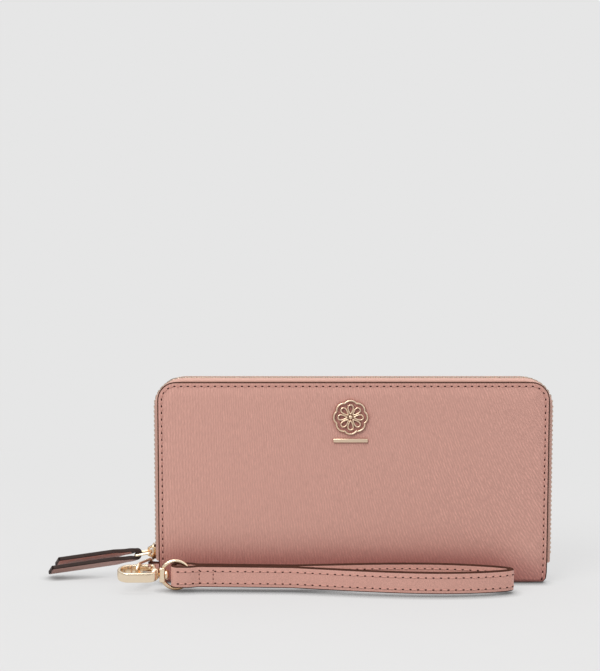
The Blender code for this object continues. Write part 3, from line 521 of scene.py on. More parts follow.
def stitch_row(shape, path, normals, pitch, radius, hole, rise, gap):
    """Threads (material 0) between dark needle holes (material 1) along a surface path.

    normals holds the surface's direction at each point, or one direction for all of them.
    """
    path = np.asarray(path, float)
    normals = np.broadcast_to(np.asarray(normals, float), path.shape)
    steps = np.linalg.norm(np.diff(path, axis=0), axis=1)
    length = np.concatenate([[0.0], np.cumsum(steps)])
    count = max(int(round(length[-1] / pitch)), 1)
    step = length[-1] / count

    def at(mark):
        point = np.array([np.interp(mark, length, path[:, k]) for k in range(3)])
        up = unit(np.array([np.interp(mark, length, normals[:, k]) for k in range(3)]))
        return point, up

    for i in range(count + 1):
        centre, up = at(i * step)
        ahead = at(min(i * step + 0.2, length[-1]))[0] - at(max(i * step - 0.2, 0.0))[0]
        along = unit(ahead - up * (ahead @ up))
        across = np.cross(up, along)
        rim = ellipse(centre - 0.04 * up, hole[0] * along, hole[1] * across, HOLE_SIDES)
        base = [point - 0.12 * up for point in rim]
        inner = [centre + (point - centre) * 0.6 + 0.05 * up for point in rim]
        shape.sweep([base, rim, inner], 1)
        if i == count:
            break
        rings = []
        for part in (0.0, 0.14, 0.35, 0.65, 0.86, 1.0):
            mark = i * step + gap / 2 + part * (step - gap)
            spot, up_here = at(mark)
            dip = abs(2 * part - 1) ** 4
            spot = spot + up_here * (rise - (rise + THREAD_DIP) * dip)
            size = radius * (1 - 0.35 * dip)
            side = size * unit(np.cross(up_here, along))
            rings.append(ellipse(spot, side, 0.8 * size * up_here, THREAD_SIDES))
        shape.sweep(rings, 0)


# ---------------------------------------------------------------- one-piece cover leather

# distance in from the open edge, and the height there of the outer and the inner face over the flat leather
EDGE_INSETS = [0.0, 0.10, 0.28, 0.60, 0.85, 1.25, 1.7, 2.15, 2.7, 3.5, 4.1, 4.8, 5.8, 7.0, 8.1, TOP_RADIUS]
OUTER_RISE = [-0.45, -0.20, -0.06, 0.0, 0.02, 0.03, 0.01, -0.02, 0.02, 0.08, 0.13, 0.20, 0.28, 0.33, 0.36,
              0.38]
INNER_RISE = [-0.45, -0.70, -0.84] + [-0.9] * (len(EDGE_INSETS) - 3)
PAINTED_WIDTH = 0.6
STITCH_INSET = 2.15
FLAT_SPINE = HALF_DEPTH - SPINE_BEND
BEND_LENGTH = SPINE_BEND * math.pi / 2
TOP_SETTLE = 0.5
UNFOLDED = FLAT_SPINE + BEND_LENGTH + HEIGHT - TOP_SETTLE - SPINE_BEND


def unfolded_height(run):
    """Height on the cover for a distance from the spine's middle; below zero on the spine."""
    return run - FLAT_SPINE - BEND_LENGTH + SPINE_BEND


def half_width_at(run):
    """The leather narrows a little where it turns under the wallet."""
    height = unfolded_height(run)
    return HALF_WIDTH - 0.15 * smooth_step((13 - height) / 11) - 1.3 * smooth_step((3.2 - height) / 3.0)


def fold(side, x, run, rise):
    """Fold the flat leather round the spine; side -1 is the front, +1 the back."""
    if run <= FLAT_SPINE:
        return (x, side * run, -rise * smooth_step((run - FLAT_SPINE + 4) / 4))
    if run <= FLAT_SPINE + BEND_LENGTH:
        angle = (run - FLAT_SPINE) / SPINE_BEND
        reach = SPINE_BEND + min(rise, 0.0) if rise < 0 else SPINE_BEND
        return (x, side * (FLAT_SPINE + reach * math.sin(angle)), SPINE_BEND - reach * math.cos(angle))
    fade = 1.0 if rise < 0 else smooth_step(unfolded_height(run) / 12)
    return (x, side * (HALF_DEPTH + rise * fade), unfolded_height(run))


def edge_stations():
    """(edge x, edge run, inward x, inward run) round the open edge, from spine up and back to spine."""
    corner = UNFOLDED - TOP_RADIUS
    runs = list(np.linspace(0.0, FLAT_SPINE, 6))
    runs += list(np.linspace(FLAT_SPINE, FLAT_SPINE + BEND_LENGTH, 8)[1:])
    runs += list(np.linspace(FLAT_SPINE + BEND_LENGTH, corner, 30)[1:])
    left = [(-half_width_at(run), run, 1.0, 0.0) for run in runs]
    centre = HALF_WIDTH - TOP_RADIUS
    turn = []
    for angle in np.radians(np.linspace(180, 90, 19)[1:-1]):
        out_x, out_run = math.cos(angle), math.sin(angle)
        turn.append((-centre + TOP_RADIUS * out_x, corner + TOP_RADIUS * out_run, -out_x, -out_run))
    across = [(x, UNFOLDED, 0.0, -1.0) for x in np.linspace(-centre, centre, 43)]
    right_turn = [(-x, run, -inward, down) for x, run, inward, down in reversed(turn)]
    right = [(-x, run, -inward, down) for x, run, inward, down in reversed(left)]
    return left + turn + across + right_turn + right, runs, [x for x, _, _, _ in across]


def add_cover_half(shape, side, rises, inner):
    """One face of one cover: a border that follows the open edge, and a grid inside it."""
    stations, runs, columns = edge_stations()
    look = 2 if inner else 0
    border = []
    looks = []
    for inset, rise in zip(EDGE_INSETS, rises):
        border += [fold(side, x + inset * ix, run + inset * ir, rise) for x, run, ix, ir in stations]
    for inset in EDGE_INSETS[1:]:
        looks += [1 if inset <= PAINTED_WIDTH else look] * (len(stations) - 1)
    shape.add(border, grid_faces(len(EDGE_INSETS), len(stations)), looks)
    middle = []
    for run in runs:
        share = (half_width_at(run) - TOP_RADIUS) / (HALF_WIDTH - TOP_RADIUS)
        middle += [fold(side, x * share, run, rises[-1]) for x in columns]
    shape.add(middle, grid_faces(len(runs), len(columns)), look)


def make_cover_leather():
    """Front, spine and back in one piece of leather, as it is cut and folded."""
    shape = Shape()
    for side in (-1, 1):
        add_cover_half(shape, side, OUTER_RISE, False)
        add_cover_half(shape, side, INNER_RISE, True)
    bend = ("case", "back_cover", (0, 5.2 * MM, 0), (0, 8.9 * MM, 0))
    build("cover_leather", shape, None, ["leather", "plum", "deep"],
          ["front_cover_leather", "back_cover_leather", "spine_leather"], merge=True, bend=bend)


def make_cover_stitches():
    """One row of stitches round each cover, in the groove near its edge."""
    stations, _, _ = edge_stations()
    for side, body, name in COVERS:
        path = []
        for x, run, inward_x, inward_run in stations:
            if unfolded_height(run) > 2.2:
                path.append(fold(side, x + STITCH_INSET * inward_x, run + STITCH_INSET * inward_run, -0.01))
        shape = Shape()
        stitch_row(shape, path, (0, side, 0), **COVER_SEAM)
        build(name + "_cover_stitches", shape, body, ["thread", "hole"])


# ---------------------------------------------------------------- outer zip

TOP_SINK = 0.62
RIGHT_SWELL = 0.22
# (out, deep) points across one tape: out from the zip's path, deep from the wallet's middle plane
TAPE_SECTION = [(-3.4, 9.0), (-0.3, 9.0), (0.35, 8.85), (0.8, 8.4), (1.15, 7.6), (1.5, 6.4), (1.78, 5.2),
                (1.95, 4.0), (2.02, 3.2), (2.02, 2.3),
                (1.57, 2.3), (1.55, 3.2), (1.48, 4.0), (1.3, 5.0), (1.03, 6.1), (0.7, 7.2), (0.35, 7.95),
                (-0.1, 8.35), (-0.6, 8.5), (-3.4, 8.55)]
# (along, deep) outline of a tooth, and (out, growth) of its levels
TOOTH_HALF = [(0.55, 2.75), (0.66, 1.2), (0.62, 0.5), (0.40, -0.05), (0.50, -0.55), (0.36, -0.85)]
TOOTH_OUTLINE = TOOTH_HALF + [(-along, deep) for along, deep in reversed(TOOTH_HALF)]
TOOTH_LEVELS = ((1.35, 0.9), (1.6, 1.0), (2.3, 0.95), (2.62, 0.62))
TOOTH_MIDDLE = 0.95
TOOTH_PITCH = 2.4
FIRST_TOOTH = 0.7
TEETH_LEFT_FOOT = TEETH_FOOT + 5.6
TEETH_RIGHT_FOOT = 12.4


def zip_path(foot_left, foot_right, spacing=2.0):
    """Dense (x, z, outward x, outward z, run) stations round left side, top and right side."""
    centre_x = HALF_WIDTH - ZIP_RADIUS
    centre_z = HEIGHT - ZIP_RADIUS
    stations = []

    def straight(start, end, out):
        count = max(int(math.dist(start, end) / spacing), 1)
        for x, z in np.linspace(start, end, count + 1)[:-1]:
            stations.append((x, z, *out))

    def corner(sign, first, last):
        for angle in np.radians(np.linspace(first, last, 17)[:-1]):
            out_x, out_z = math.cos(angle), math.sin(angle)
            x = sign * centre_x + ZIP_RADIUS * out_x
            stations.append((x, centre_z + ZIP_RADIUS * out_z, out_x, out_z))

    straight((-HALF_WIDTH, foot_left), (-HALF_WIDTH, centre_z), (-1, 0))
    corner(-1, 180, 90)
    straight((-centre_x, HEIGHT), (centre_x, HEIGHT), (0, 1))
    corner(1, 90, 0)
    straight((HALF_WIDTH, centre_z), (HALF_WIDTH, foot_right), (1, 0))
    stations.append((HALF_WIDTH, foot_right, 1, 0))
    runs = [0.0]
    for before, after in zip(stations, stations[1:]):
        runs.append(runs[-1] + math.dist(before[:2], after[:2]))
    placed = []
    for (x, z, out_x, out_z), run in zip(stations, runs):
        sink = 1 - TOP_SINK * out_z * out_z + RIGHT_SWELL * max(out_x, 0.0)
        placed.append((x, z, out_x * sink, out_z * sink, run))
    return placed


def make_zip_tapes():
    for side, body, name in COVERS:
        widths = [0.0]
        for before, after in zip(TAPE_SECTION, TAPE_SECTION[1:]):
            widths.append(widths[-1] + math.dist(before, after))
        rings = []
        weave = []
        for x, z, out_x, out_z, run in zip_path(TAPE_FOOT + 1.0, TAPE_FOOT):
            rings.append([(x + out * out_x, side * deep, z + out * out_z) for out, deep in TAPE_SECTION])
            weave += [(run, width, 0.0) for width in widths]
        shape = Shape()
        shape.sweep(rings, 0, weave=weave)
        build(name + "_tape_cloth", shape, body, ["tape"], [name + "_zip_tape"])


def make_zip_teeth():
    """Interlocking metal teeth; the two rows are half a pitch apart."""
    stations = np.array(zip_path(TEETH_LEFT_FOOT, TEETH_RIGHT_FOOT, 0.8))
    runs = stations[:, 4]
    for side, body, name in COVERS:
        shape = Shape()
        first = FIRST_TOOTH if side < 0 else FIRST_TOOTH + TOOTH_PITCH / 2
        for mark in np.arange(first, runs[-1] - 0.5, TOOTH_PITCH):
            x, z, out_x, out_z = [np.interp(mark, runs, stations[:, k]) for k in range(4)]
            sink = math.hypot(out_x, out_z)
            out = np.array([out_x, 0, out_z])
            along = np.array([out[2], 0, -out[0]]) / sink
            spot = np.array([x, 0, z])
            rings = []
            for level, grow in TOOTH_LEVELS:
                ring = []
                for run, deep in TOOTH_OUTLINE:
                    lateral = side * (TOOTH_MIDDLE + (deep - TOOTH_MIDDLE) * grow)
                    ring.append(spot + level * out + run * grow * along + np.array([0, lateral, 0]))
                rings.append(ring)
            shape.sweep(rings, 0)
        build(name + "_teeth_row", shape, body, ["zip_gold"], [name + "_zip_teeth"], sharp=30)


# ---------------------------------------------------------------- gold hardware

def edge_ring(centre, along, up, section):
    """Place a flat section (a across, b up) at a point of a path."""
    side = unit(np.cross(along, up))
    return [centre + a * side + b * up for a, b in section]


def sweep_band(shape, path, section, up=(0, 0, 1), looks=0, closed=False, shrink_ends=0.0):
    """Sweep a section along a plan path; the ends may be drawn in to look rounded."""
    up = np.asarray(up, float)
    path = np.asarray(path, float)
    rings = [edge_ring(point, along, up, section) for point, along in zip(path, tangents(path, closed))]
    if shrink_ends and not closed:
        along = tangents(path)
        small = [(a * 0.72, b * 0.93) for a, b in section]
        rings.insert(0, edge_ring(path[0] - shrink_ends * along[0], along[0], up, small))
        rings.append(edge_ring(path[-1] + shrink_ends * along[-1], along[-1], up, small))
    shape.sweep(rings, looks, closed=closed)


def rounded_rod(shape, origin, axis, low, high, radius, bevel=0.2):
    revolve(shape, origin, axis, [(run, radius - inset) for run, inset in bevelled(low, high, bevel)], 36)


def rounded_box(shape, low, high, bevel):
    """Box with rounded edges, made of inset rings along x."""
    low = np.asarray(low, float)
    high = np.asarray(high, float)
    middle = (low + high) / 2
    half = (high - low) / 2
    rings = []
    for x, inset in bevelled(low[0], high[0], bevel):
        section = rounded_section(half[1] - inset, half[2] - inset, bevel, 4)
        rings.append([(x, middle[1] + a, middle[2] + b) for a, b in section])
    shape.sweep(rings)


HOOK_BAND = 1.6
HOOK_HALF = 0.87 * (HOOK_HIGH[2] - HOOK_LOW[2]) / 2
SWIVEL_Y, SWIVEL_Z = joint_place("swivel_spin")[1:]
HOOK_RADIUS = 5.5
HOOK_TILT = math.radians(7.0)
HOOK_LEVEL_Y = SWIVEL_Y - 4.5
HOOK_LEFT_X = -110.0
GATE_PIN_X, GATE_PIN_Y = joint_place("gate_open")[:2]
GATE_TIP_X = -109.9
GATE_NECK = 2.3
KNUCKLE_HALF = 0.95
KNUCKLE_RADIUS = 1.35
HOOK_SECTION = rounded_section(HOOK_BAND / 2, HOOK_HALF, 0.5, 4, 0.12)
EYE_WIRE = 0.94
BOSS_LENGTH = 2.7
BOSS_HALF = 3.6
RIGHT = np.array((1.0, 0.0, 0.0))
UP = np.array((0.0, 0.0, 1.0))


def hook_height(y):
    """The hook lies with its gate side a little higher than its near side."""
    return SWIVEL_Z + math.tan(HOOK_TILT) * (y - HOOK_LEVEL_Y)


def at_swivel(points):
    return np.array([(x, y, hook_height(y)) for x, y in points])


def make_snap_hook():
    """Flat-band hook: nose, round bend, near side, swivel head and the fork for the gate."""
    far = SWIVEL_Y + HOOK_RADIUS
    near = SWIVEL_Y - HOOK_RADIUS
    shape = Shape()
    path = [(GATE_TIP_X - 0.75, far)]
    path += arc((HOOK_LEFT_X, SWIVEL_Y), HOOK_RADIUS, 97, 270, 40)
    path += [(-105.5, near), (-102.0, near), (-100.4, near + 0.15), (-99.3, near + 0.5), (-98.4, near + 1.1),
             (-97.7, near + 2.0), (-97.3, near + 3.1), (-97.2, SWIVEL_Y - 1.6)]
    sweep_band(shape, at_swivel(path), HOOK_SECTION, shrink_ends=0.2)
    centre = (0.0, SWIVEL_Y, hook_height(SWIVEL_Y))
    head = HOOK_HIGH[0]
    profile = [(-99.7, 0.0), (-99.7, 1.7), (-99.4, 2.3), (-98.8, 2.6), (-97.7, 2.7), (head - 0.55, 2.7),
               (head - 0.2, 2.6), (head, 2.3), (head, 0.0)]
    revolve(shape, centre, (1, 0, 0), profile, 40)
    arm = [(-98.1, SWIVEL_Y + 0.6), (-98.3, SWIVEL_Y + 2.0), (-98.6, SWIVEL_Y + 3.4),
           (GATE_PIN_X + 0.15, GATE_PIN_Y - 0.9)]
    sweep_band(shape, at_swivel(arm), HOOK_SECTION)
    pivot = (GATE_PIN_X, GATE_PIN_Y, hook_height(GATE_PIN_Y))
    for low, high in ((-HOOK_HALF, -KNUCKLE_HALF - 0.15), (KNUCKLE_HALF + 0.15, HOOK_HALF)):
        rounded_rod(shape, pivot, (0, 0, 1), low, high, KNUCKLE_RADIUS)
    build("hook_band", shape, "snap_hook", ["gold"], ["snap_hook_body"], sharp=45)

    pin = Shape()
    rounded_rod(pin, pivot, (0, 0, 1), -HOOK_HALF - 0.1, HOOK_HALF + 0.1, 0.62, 0.15)
    build("hook_gate_pin", pin, "snap_hook", ["steel"], ["gate_pin"])


def make_gate():
    """Sprung lever with a full-height end that meets the hook's nose."""
    shape = Shape()
    pivot = (GATE_PIN_X, GATE_PIN_Y, hook_height(GATE_PIN_Y))
    rounded_rod(shape, pivot, (0, 0, 1), -KNUCKLE_HALF, KNUCKLE_HALF, KNUCKLE_RADIUS)
    neck = rounded_section(HOOK_BAND / 2 - 0.02, KNUCKLE_HALF, 0.25, 3)
    sweep_band(shape, at_swivel([(GATE_PIN_X - 0.9, GATE_PIN_Y), (GATE_PIN_X - 3.2, GATE_PIN_Y)]), neck)
    lever = [(GATE_PIN_X - GATE_NECK, GATE_PIN_Y), (-106.0, GATE_PIN_Y), (GATE_TIP_X + 0.35, GATE_PIN_Y)]
    sweep_band(shape, at_swivel(lever), HOOK_SECTION, shrink_ends=0.2)
    build("hook_gate_lever", shape, "gate", ["gold"], ["snap_hook_gate"], sharp=45)


def make_swivel():
    """Rivet post in the hook's head and the round eye that turns on it."""
    centre = (0.0, SWIVEL_Y, SWIVEL_Z)
    post = Shape()
    rounded_rod(post, centre, (1, 0, 0), -98.5, -92.2, 1.0, 0.15)
    profile = [(-92.6, 0.0), (-92.6, 2.5), (-92.3, 2.6), (-91.7, 2.4), (-91.2, 1.8), (-90.9, 0.9),
               (-90.9, 0.0)]
    revolve(post, centre, (1, 0, 0), profile)
    build("swivel_rivet", post, "snap_hook", ["gold"], ["swivel_post"], sharp=50)

    eye = Shape()
    wire = (EYE_HIGH[1] - EYE_LOW[1]) / 2
    radius = (EYE_HIGH[2] - EYE_LOW[2]) / 2 - EYE_WIRE
    middle = EYE_HIGH[0] - EYE_WIRE - radius
    ring = ellipse(np.array((middle, SWIVEL_Y, SWIVEL_Z)), radius * RIGHT, radius * UP, 96)
    tube(eye, ring, EYE_WIRE, (0, 1, 0), 20)
    low = (EYE_LOW[0], SWIVEL_Y - wire, SWIVEL_Z - BOSS_HALF)
    high = (EYE_LOW[0] + BOSS_LENGTH, SWIVEL_Y + wire, SWIVEL_Z + BOSS_HALF)
    rounded_box(eye, low, high, 0.45)
    build("swivel_ring", eye, "swivel_eye", ["gold"], ["swivel_eye"], sharp=50)


RING_BAR = joint_place("d_ring_swing")
RING_HEADING = math.radians(248.6)
RING_WIRE = 0.7
RING_HALF = 3.7
RING_REACH = 15.25
RING_CORNER = 1.2
RING_TILT = 0.05
TAB_BEND = 1.27
TAB_HALF_THICK = 0.26
# (x, y off the ring's bar) points of the tab from the cover seam to the bar
TAB_PATH = [(-94.6, 0.26), (-97.2, 0.28), (-99.3, 0.42), (-100.4, 0.75)]


def make_d_ring():
    """Wire ring: a straight bar in the tab, two arms and a half-round end."""
    outline = arc((RING_CORNER, RING_CORNER - RING_HALF), RING_CORNER, 270, 180, 8)
    outline += arc((RING_CORNER, RING_HALF - RING_CORNER), RING_CORNER, 180, 90, 8)
    outline += arc((RING_REACH - RING_HALF, 0.0), RING_HALF, 90, -90, 30)
    outline = resample(outline, 0.45, True)
    heading = np.array((math.cos(RING_HEADING), math.sin(RING_HEADING), RING_TILT))
    path = [RING_BAR + run * heading + rise * UP for run, rise in outline]
    shape = Shape()
    tube(shape, path, RING_WIRE, (heading[1], -heading[0], 0), 20)
    build("d_ring_wire", shape, "d_ring", ["gold"], ["d_ring"])


def make_ring_tab():
    """Leather strip from the cover seam round the D-ring's straight bar."""
    low, high = node_box("d_ring_tab")
    x, y = RING_BAR[:2]
    path = [(px, y - off) for px, off in TAB_PATH]
    path += arc((x, y), TAB_BEND, -48, -312, 26)
    path += [(px, y + off) for px, off in reversed(TAB_PATH)]
    half = (high[2] - low[2]) / 2
    middle = (low[2] + high[2]) / 2
    section = rounded_section(TAB_HALF_THICK, half, 0.2, 3)
    looks = [1 if abs(b) > half - 0.25 else 0 for _, b in section]
    shape = Shape()
    sweep_band(shape, [(px, py, middle) for px, py in path], section, looks=looks)
    build("d_ring_loop_leather", shape, "case", ["strap", "plum"], ["d_ring_tab"])


# ---------------------------------------------------------------- slider, link and puller

LINK_NEAR = np.array([-102.3, 13.4])
LINK_FAR = joint_place("puller_swing")[[0, 2]]
LINK_HALF = 3.0
LINK_CORNER = 0.9
LINK_WIRE = 0.62


def make_pull_link():
    half = math.dist(LINK_NEAR, LINK_FAR) / 2
    middle = (LINK_NEAR + LINK_FAR) / 2
    along = unit(LINK_FAR - LINK_NEAR)
    outline = rounded_section(half, LINK_HALF, LINK_CORNER, 8)
    path = [(middle[0] + run * along[0], across, middle[1] + run * along[1])
            for run, across in resample(outline, 0.35, True)]
    shape = Shape()
    tube(shape, path, LINK_WIRE, (-along[1], 0, along[0]), 16)
    build("pull_link_wire", shape, "pull_link", ["gold"], ["pull_link"])


PULLER_LENGTH = 43.9
PULLER_STAGGER = 3.6
PULLER_PLY = 2.0
PULLER_HALF_WIDTH = 4.2
PULLER_NECK_HALF = 2.2
PULLER_SLOPE = math.radians(8.3)
PULLER_ROLL = math.radians(30.0)
PULLER_SKEW = 3.4
PULLER_BEND = LINK_WIRE + 0.35 + PULLER_PLY / 2
# rings of the fold whose outer face is made dark: partly the edge paint seen there, partly painted shade
FOLD_PAINT_AND_SHADE_FROM = 37
FOLD_PAINT_AND_SHADE_TO = 52


def puller_point(run, rise, side):
    """Place a point of the puller: run along it, rise off its middle, side -1..1 across it."""
    twist = PULLER_ROLL * smooth_step((run + 3.5) / 7)
    widen = smooth_step((run - 4.5) / 7)
    half = PULLER_NECK_HALF + (PULLER_HALF_WIDTH - PULLER_NECK_HALF) * widen
    across = side * half
    y = across * math.cos(twist) + rise * math.sin(twist)
    up = rise * math.cos(twist) - across * math.sin(twist)
    x = LINK_FAR[0] - run * math.cos(PULLER_SLOPE) - up * math.sin(PULLER_SLOPE)
    z = LINK_FAR[1] - run * math.sin(PULLER_SLOPE) + up * math.cos(PULLER_SLOPE)
    return np.array((x, y, z))


def make_puller():
    """Thick leather strip folded round the link, painted along its edges and slant-cut tails, and dark over
    the fold, partly edge paint and partly painted shade.
    """
    centre = [(run, PULLER_BEND) for run in np.linspace(PULLER_LENGTH - PULLER_STAGGER, 0, 40)]
    centre += arc((0.0, 0.0), PULLER_BEND, 90, 270, 20)[1:-1]
    centre += [(run, -PULLER_BEND) for run in np.linspace(0, PULLER_LENGTH, 42)]
    centre = np.array(centre)
    along = tangents(centre)
    section = rounded_section(PULLER_PLY / 2, PULLER_HALF_WIDTH, 0.42, 4, 0.05)
    looks = []
    for (a, b), (a2, b2) in zip(section, section[1:] + section[:1]):
        edge = min(abs(b), abs(b2)) > PULLER_HALF_WIDTH - 0.85
        looks.append(1 if edge else 0)

    def ring(point, direction, shrink):
        normal = np.array((-direction[1], direction[0]))
        made = []
        for a, b in section:
            run, rise = point + a * shrink * normal
            slant = smooth_step((run - PULLER_LENGTH + 12) / 8)
            side = b / PULLER_HALF_WIDTH
            made.append(puller_point(run + PULLER_SKEW * side / 2 * slant, rise, side * (0.4 + 0.6 * shrink)))
        return made

    shape = Shape()
    shape.sweep([ring(point, direction, 1.0) for point, direction in zip(centre, along)], looks, ends=False)
    # the fold's outer face takes the dark paint, which there is partly edge paint and partly painted shade
    for index in range(FOLD_PAINT_AND_SHADE_FROM * len(section), FOLD_PAINT_AND_SHADE_TO * len(section)):
        shape.looks[index] = 1
    for index in (0, -1):
        out = -along[0] if index == 0 else along[-1]
        tip = [ring(centre[index] + out * reach, along[index], shrink)
               for reach, shrink in ((0.0, 1.0), (0.2, 0.97), (0.35, 0.88), (0.42, 0.72))]
        shape.sweep(tip, 1)
    build("puller_strip", shape, "puller", ["strap", "black"], ["puller_leather"],
          merge=True)


# ---------------------------------------------------------------- wrist strap

STRAP_LEFT = -86.2
STRAP_TACK = -76.0
STRAP_SECOND_TACK = -69.1
STRAP_SPLIT = -30.0
STRAP_RIGHT = 75.3
STRAP_EYE_GAP = 1.48
STRAP_PLY_GAP = 0.1
STRAP_TIP_GAP = 0.25
STRAP_BULGE = 5.55
STRAP_DRIFT = 3.3
STRAP_SKEW = 1.45
STRAP_THICK = 2.35
STRAP_HALF_HEIGHT = 5.3
STRAP_Z_LEFT = 7.65
STRAP_Z_RIGHT = 6.6
STRAP_TILT = 0.06
STRAP_STITCH_INSET = 2.1
STRAP_UPPER_INSET = 2.6
STRAP_STATIONS = 260
STRAP_TURN = 15
STRAP_UPPER_PAINT = 0.62
# the dark band along the lower edge reaches further up the faces than the one along the upper edge
STRAP_LOWER_DARK_BAND = 0.85


def strap_half_gap(x):
    if x < STRAP_SPLIT:
        closing = smooth_step((x - STRAP_LEFT - 4.5) / (STRAP_TACK - STRAP_LEFT - 4.5))
        return STRAP_EYE_GAP + (STRAP_PLY_GAP - STRAP_EYE_GAP) * closing
    run = (x - STRAP_SPLIT) / (STRAP_RIGHT - STRAP_SPLIT)
    swell = max(math.sin(math.pi * run ** STRAP_SKEW), 0.0) ** 0.7
    return STRAP_PLY_GAP + (STRAP_TIP_GAP - STRAP_PLY_GAP) * run + STRAP_BULGE * swell


def strap_middle(x):
    return SWIVEL_Y - STRAP_DRIFT * smooth_step((x - STRAP_LEFT) / (STRAP_RIGHT - STRAP_LEFT))


def strap_height(x, y):
    """Middle height of the band; the loop leans, so its rear ply sits a little higher."""
    run = (x - STRAP_LEFT) / (STRAP_RIGHT - STRAP_LEFT)
    return STRAP_Z_LEFT + (STRAP_Z_RIGHT - STRAP_Z_LEFT) * run + STRAP_TILT * (y - strap_middle(x))


def strap_plan(offset):
    """Closed plan line of the strap at a distance out from its inner face, front ply first."""
    stations = np.linspace(STRAP_LEFT, STRAP_RIGHT, STRAP_STATIONS)

    def ply(side, places):
        return [(x, strap_middle(x) + side * (strap_half_gap(x) + offset)) for x in places]

    def turn(x, start):
        return arc((x, strap_middle(x)), strap_half_gap(x) + offset, start, start + 180, STRAP_TURN + 1)[1:-1]

    loop = ply(-1, stations) + turn(STRAP_RIGHT, -90) + ply(1, stations[::-1]) + turn(STRAP_LEFT, 90)
    return np.array(loop)


def make_strap():
    """Two leather layers glued and stitched into one band, painted along both edges, the dark band along the
    lower edge wider.
    """
    centre = strap_plan(STRAP_THICK / 2)
    section = rounded_section(STRAP_THICK / 2, STRAP_HALF_HEIGHT, 0.5, 5, 0.06)
    looks = []
    for (a, b), (a2, b2) in zip(section, section[1:] + section[:1]):
        upper = min(b, b2) > STRAP_HALF_HEIGHT - STRAP_UPPER_PAINT
        # the wider dark band along the lower edge
        lower = max(b, b2) < STRAP_LOWER_DARK_BAND - STRAP_HALF_HEIGHT
        looks.append(1 if upper or lower else 0)
    outward = tangents(centre, True)
    rings = []
    for (x, y), (dx, dy) in zip(centre, outward):
        rings.append([(x + a * dy, y - a * dx, strap_height(x, y) + b) for a, b in section])
    shape = Shape()
    shape.sweep(rings, looks, closed=True)
    build("strap_band", shape, "strap", ["strap", "plum"],
          ["strap_inner_leather", "strap_outer_leather"])

    thread = Shape()
    for turn in (1, -1):
        out = turn * np.column_stack([outward[:, 1], -outward[:, 0]])
        face = centre + (STRAP_THICK / 2 + 0.06) * out
        normals = np.column_stack([out, np.zeros(len(out))])
        for shift in (STRAP_HALF_HEIGHT - STRAP_UPPER_INSET, STRAP_STITCH_INSET - STRAP_HALF_HEIGHT):
            line = np.array([(x, y, strap_height(*middle) + shift) for (x, y), middle in zip(face, centre)])
            if turn > 0:
                parts = [slice(0, 2 * STRAP_STATIONS + STRAP_TURN)]
            else:
                open_part = (line[:, 0] > STRAP_SPLIT + 9) & (line[:, 0] < STRAP_RIGHT - 3)
                rear = STRAP_STATIONS + STRAP_TURN
                parts = [np.flatnonzero(open_part[:STRAP_STATIONS]), rear + np.flatnonzero(open_part[rear:])]
            for part in parts:
                stitch_row(thread, line[part], normals[part], **STRAP_SEAM)
    for x in (STRAP_TACK, STRAP_SECOND_TACK):
        for side in (-1, 1):
            y = strap_middle(x) + side * (strap_half_gap(x) + STRAP_THICK + 0.07)
            reach = STRAP_HALF_HEIGHT - STRAP_STITCH_INSET
            line = [(x, y, strap_height(x, y) + z) for z in np.linspace(-reach, reach, 12)]
            stitch_row(thread, line, (0, side, 0), **TACK_SEAM)
    build("strap_stitches", thread, "strap", ["thread", "hole"])


# ---------------------------------------------------------------- front ornament

ORNAMENT_LOW, ORNAMENT_HIGH = node_box("ornament_rosette")
ORNAMENT_BACK = ORNAMENT_HIGH[1] - 0.25
ORNAMENT_WIRE = 0.46
PETALS = 8
PETAL_START = 1.75
PETAL_LENGTH = 4.5
PETAL_HALF_WIDTH = 1.75


def make_ornament():
    """Openwork rosette of wire petals inside a scalloped rim, and a plain bar below it."""
    x0 = (ORNAMENT_LOW[0] + ORNAMENT_HIGH[0]) / 2
    z0 = (ORNAMENT_LOW[2] + ORNAMENT_HIGH[2]) / 2
    outer = (ORNAMENT_HIGH[0] - ORNAMENT_LOW[0]) / 2
    y0 = ORNAMENT_BACK - ORNAMENT_WIRE - 0.2
    shape = Shape()
    rim = []
    for angle in full_turn(240):
        radius = outer - 1.25 + 0.9 * abs(math.cos(PETALS / 2 * angle)) ** 0.8
        rim.append((x0 + radius * math.cos(angle), y0, z0 + radius * math.sin(angle)))
    tube(shape, rim, ORNAMENT_WIRE, (0, 1, 0), 12)
    for angle in full_turn(PETALS):
        along = np.array((math.cos(angle), 0, math.sin(angle)))
        across = np.array((-math.sin(angle), 0, math.cos(angle)))
        loop = []
        for turn in full_turn(40):
            reach = 0.5 - 0.5 * math.cos(turn)
            run = PETAL_START + PETAL_LENGTH * reach
            width = PETAL_HALF_WIDTH * math.sin(turn) * (0.35 + 0.65 * reach)
            loop.append(np.array((x0, y0 - 0.05, z0)) + run * along + width * across)
        tube(shape, loop, ORNAMENT_WIRE * 0.85, (0, 1, 0), 10)
    bead = [(0.0, 0.0)]
    bead += [(1.0 * math.sin(a), 1.25 * math.cos(a)) for a in np.linspace(0.0, math.pi / 2 - 0.01, 10)]
    revolve(shape, (x0, ORNAMENT_BACK, z0), (0, -1, 0), bead + [(1.0, 0.0)], 28)
    build("rosette_wirework", shape, "case", ["satin_gold"], ["ornament_rosette"])

    low, high = node_box("ornament_bar")
    shape = Shape()
    rounded_box(shape, (low[0], high[1] - 1.0, low[2]), (high[0], ORNAMENT_BACK, high[2]), 0.38)
    build("ornament_plain_bar", shape, "case", ["satin_gold"], ["ornament_bar"])


# ---------------------------------------------------------------- inside

def rim_outline(half, low, high, top_radius, foot_radius):
    """Outline in x and z, rounded at the top corners and slightly at the foot."""
    outline = []
    for x, z, radius, start in ((half, high, top_radius, 0), (-half, high, top_radius, 90),
                                (-half, low, foot_radius, 180), (half, low, foot_radius, 270)):
        centre = (x - math.copysign(radius, x), z - radius if z == high else z + radius)
        outline += arc(centre, radius, start, start + 90, 10)
    return np.array(outline)


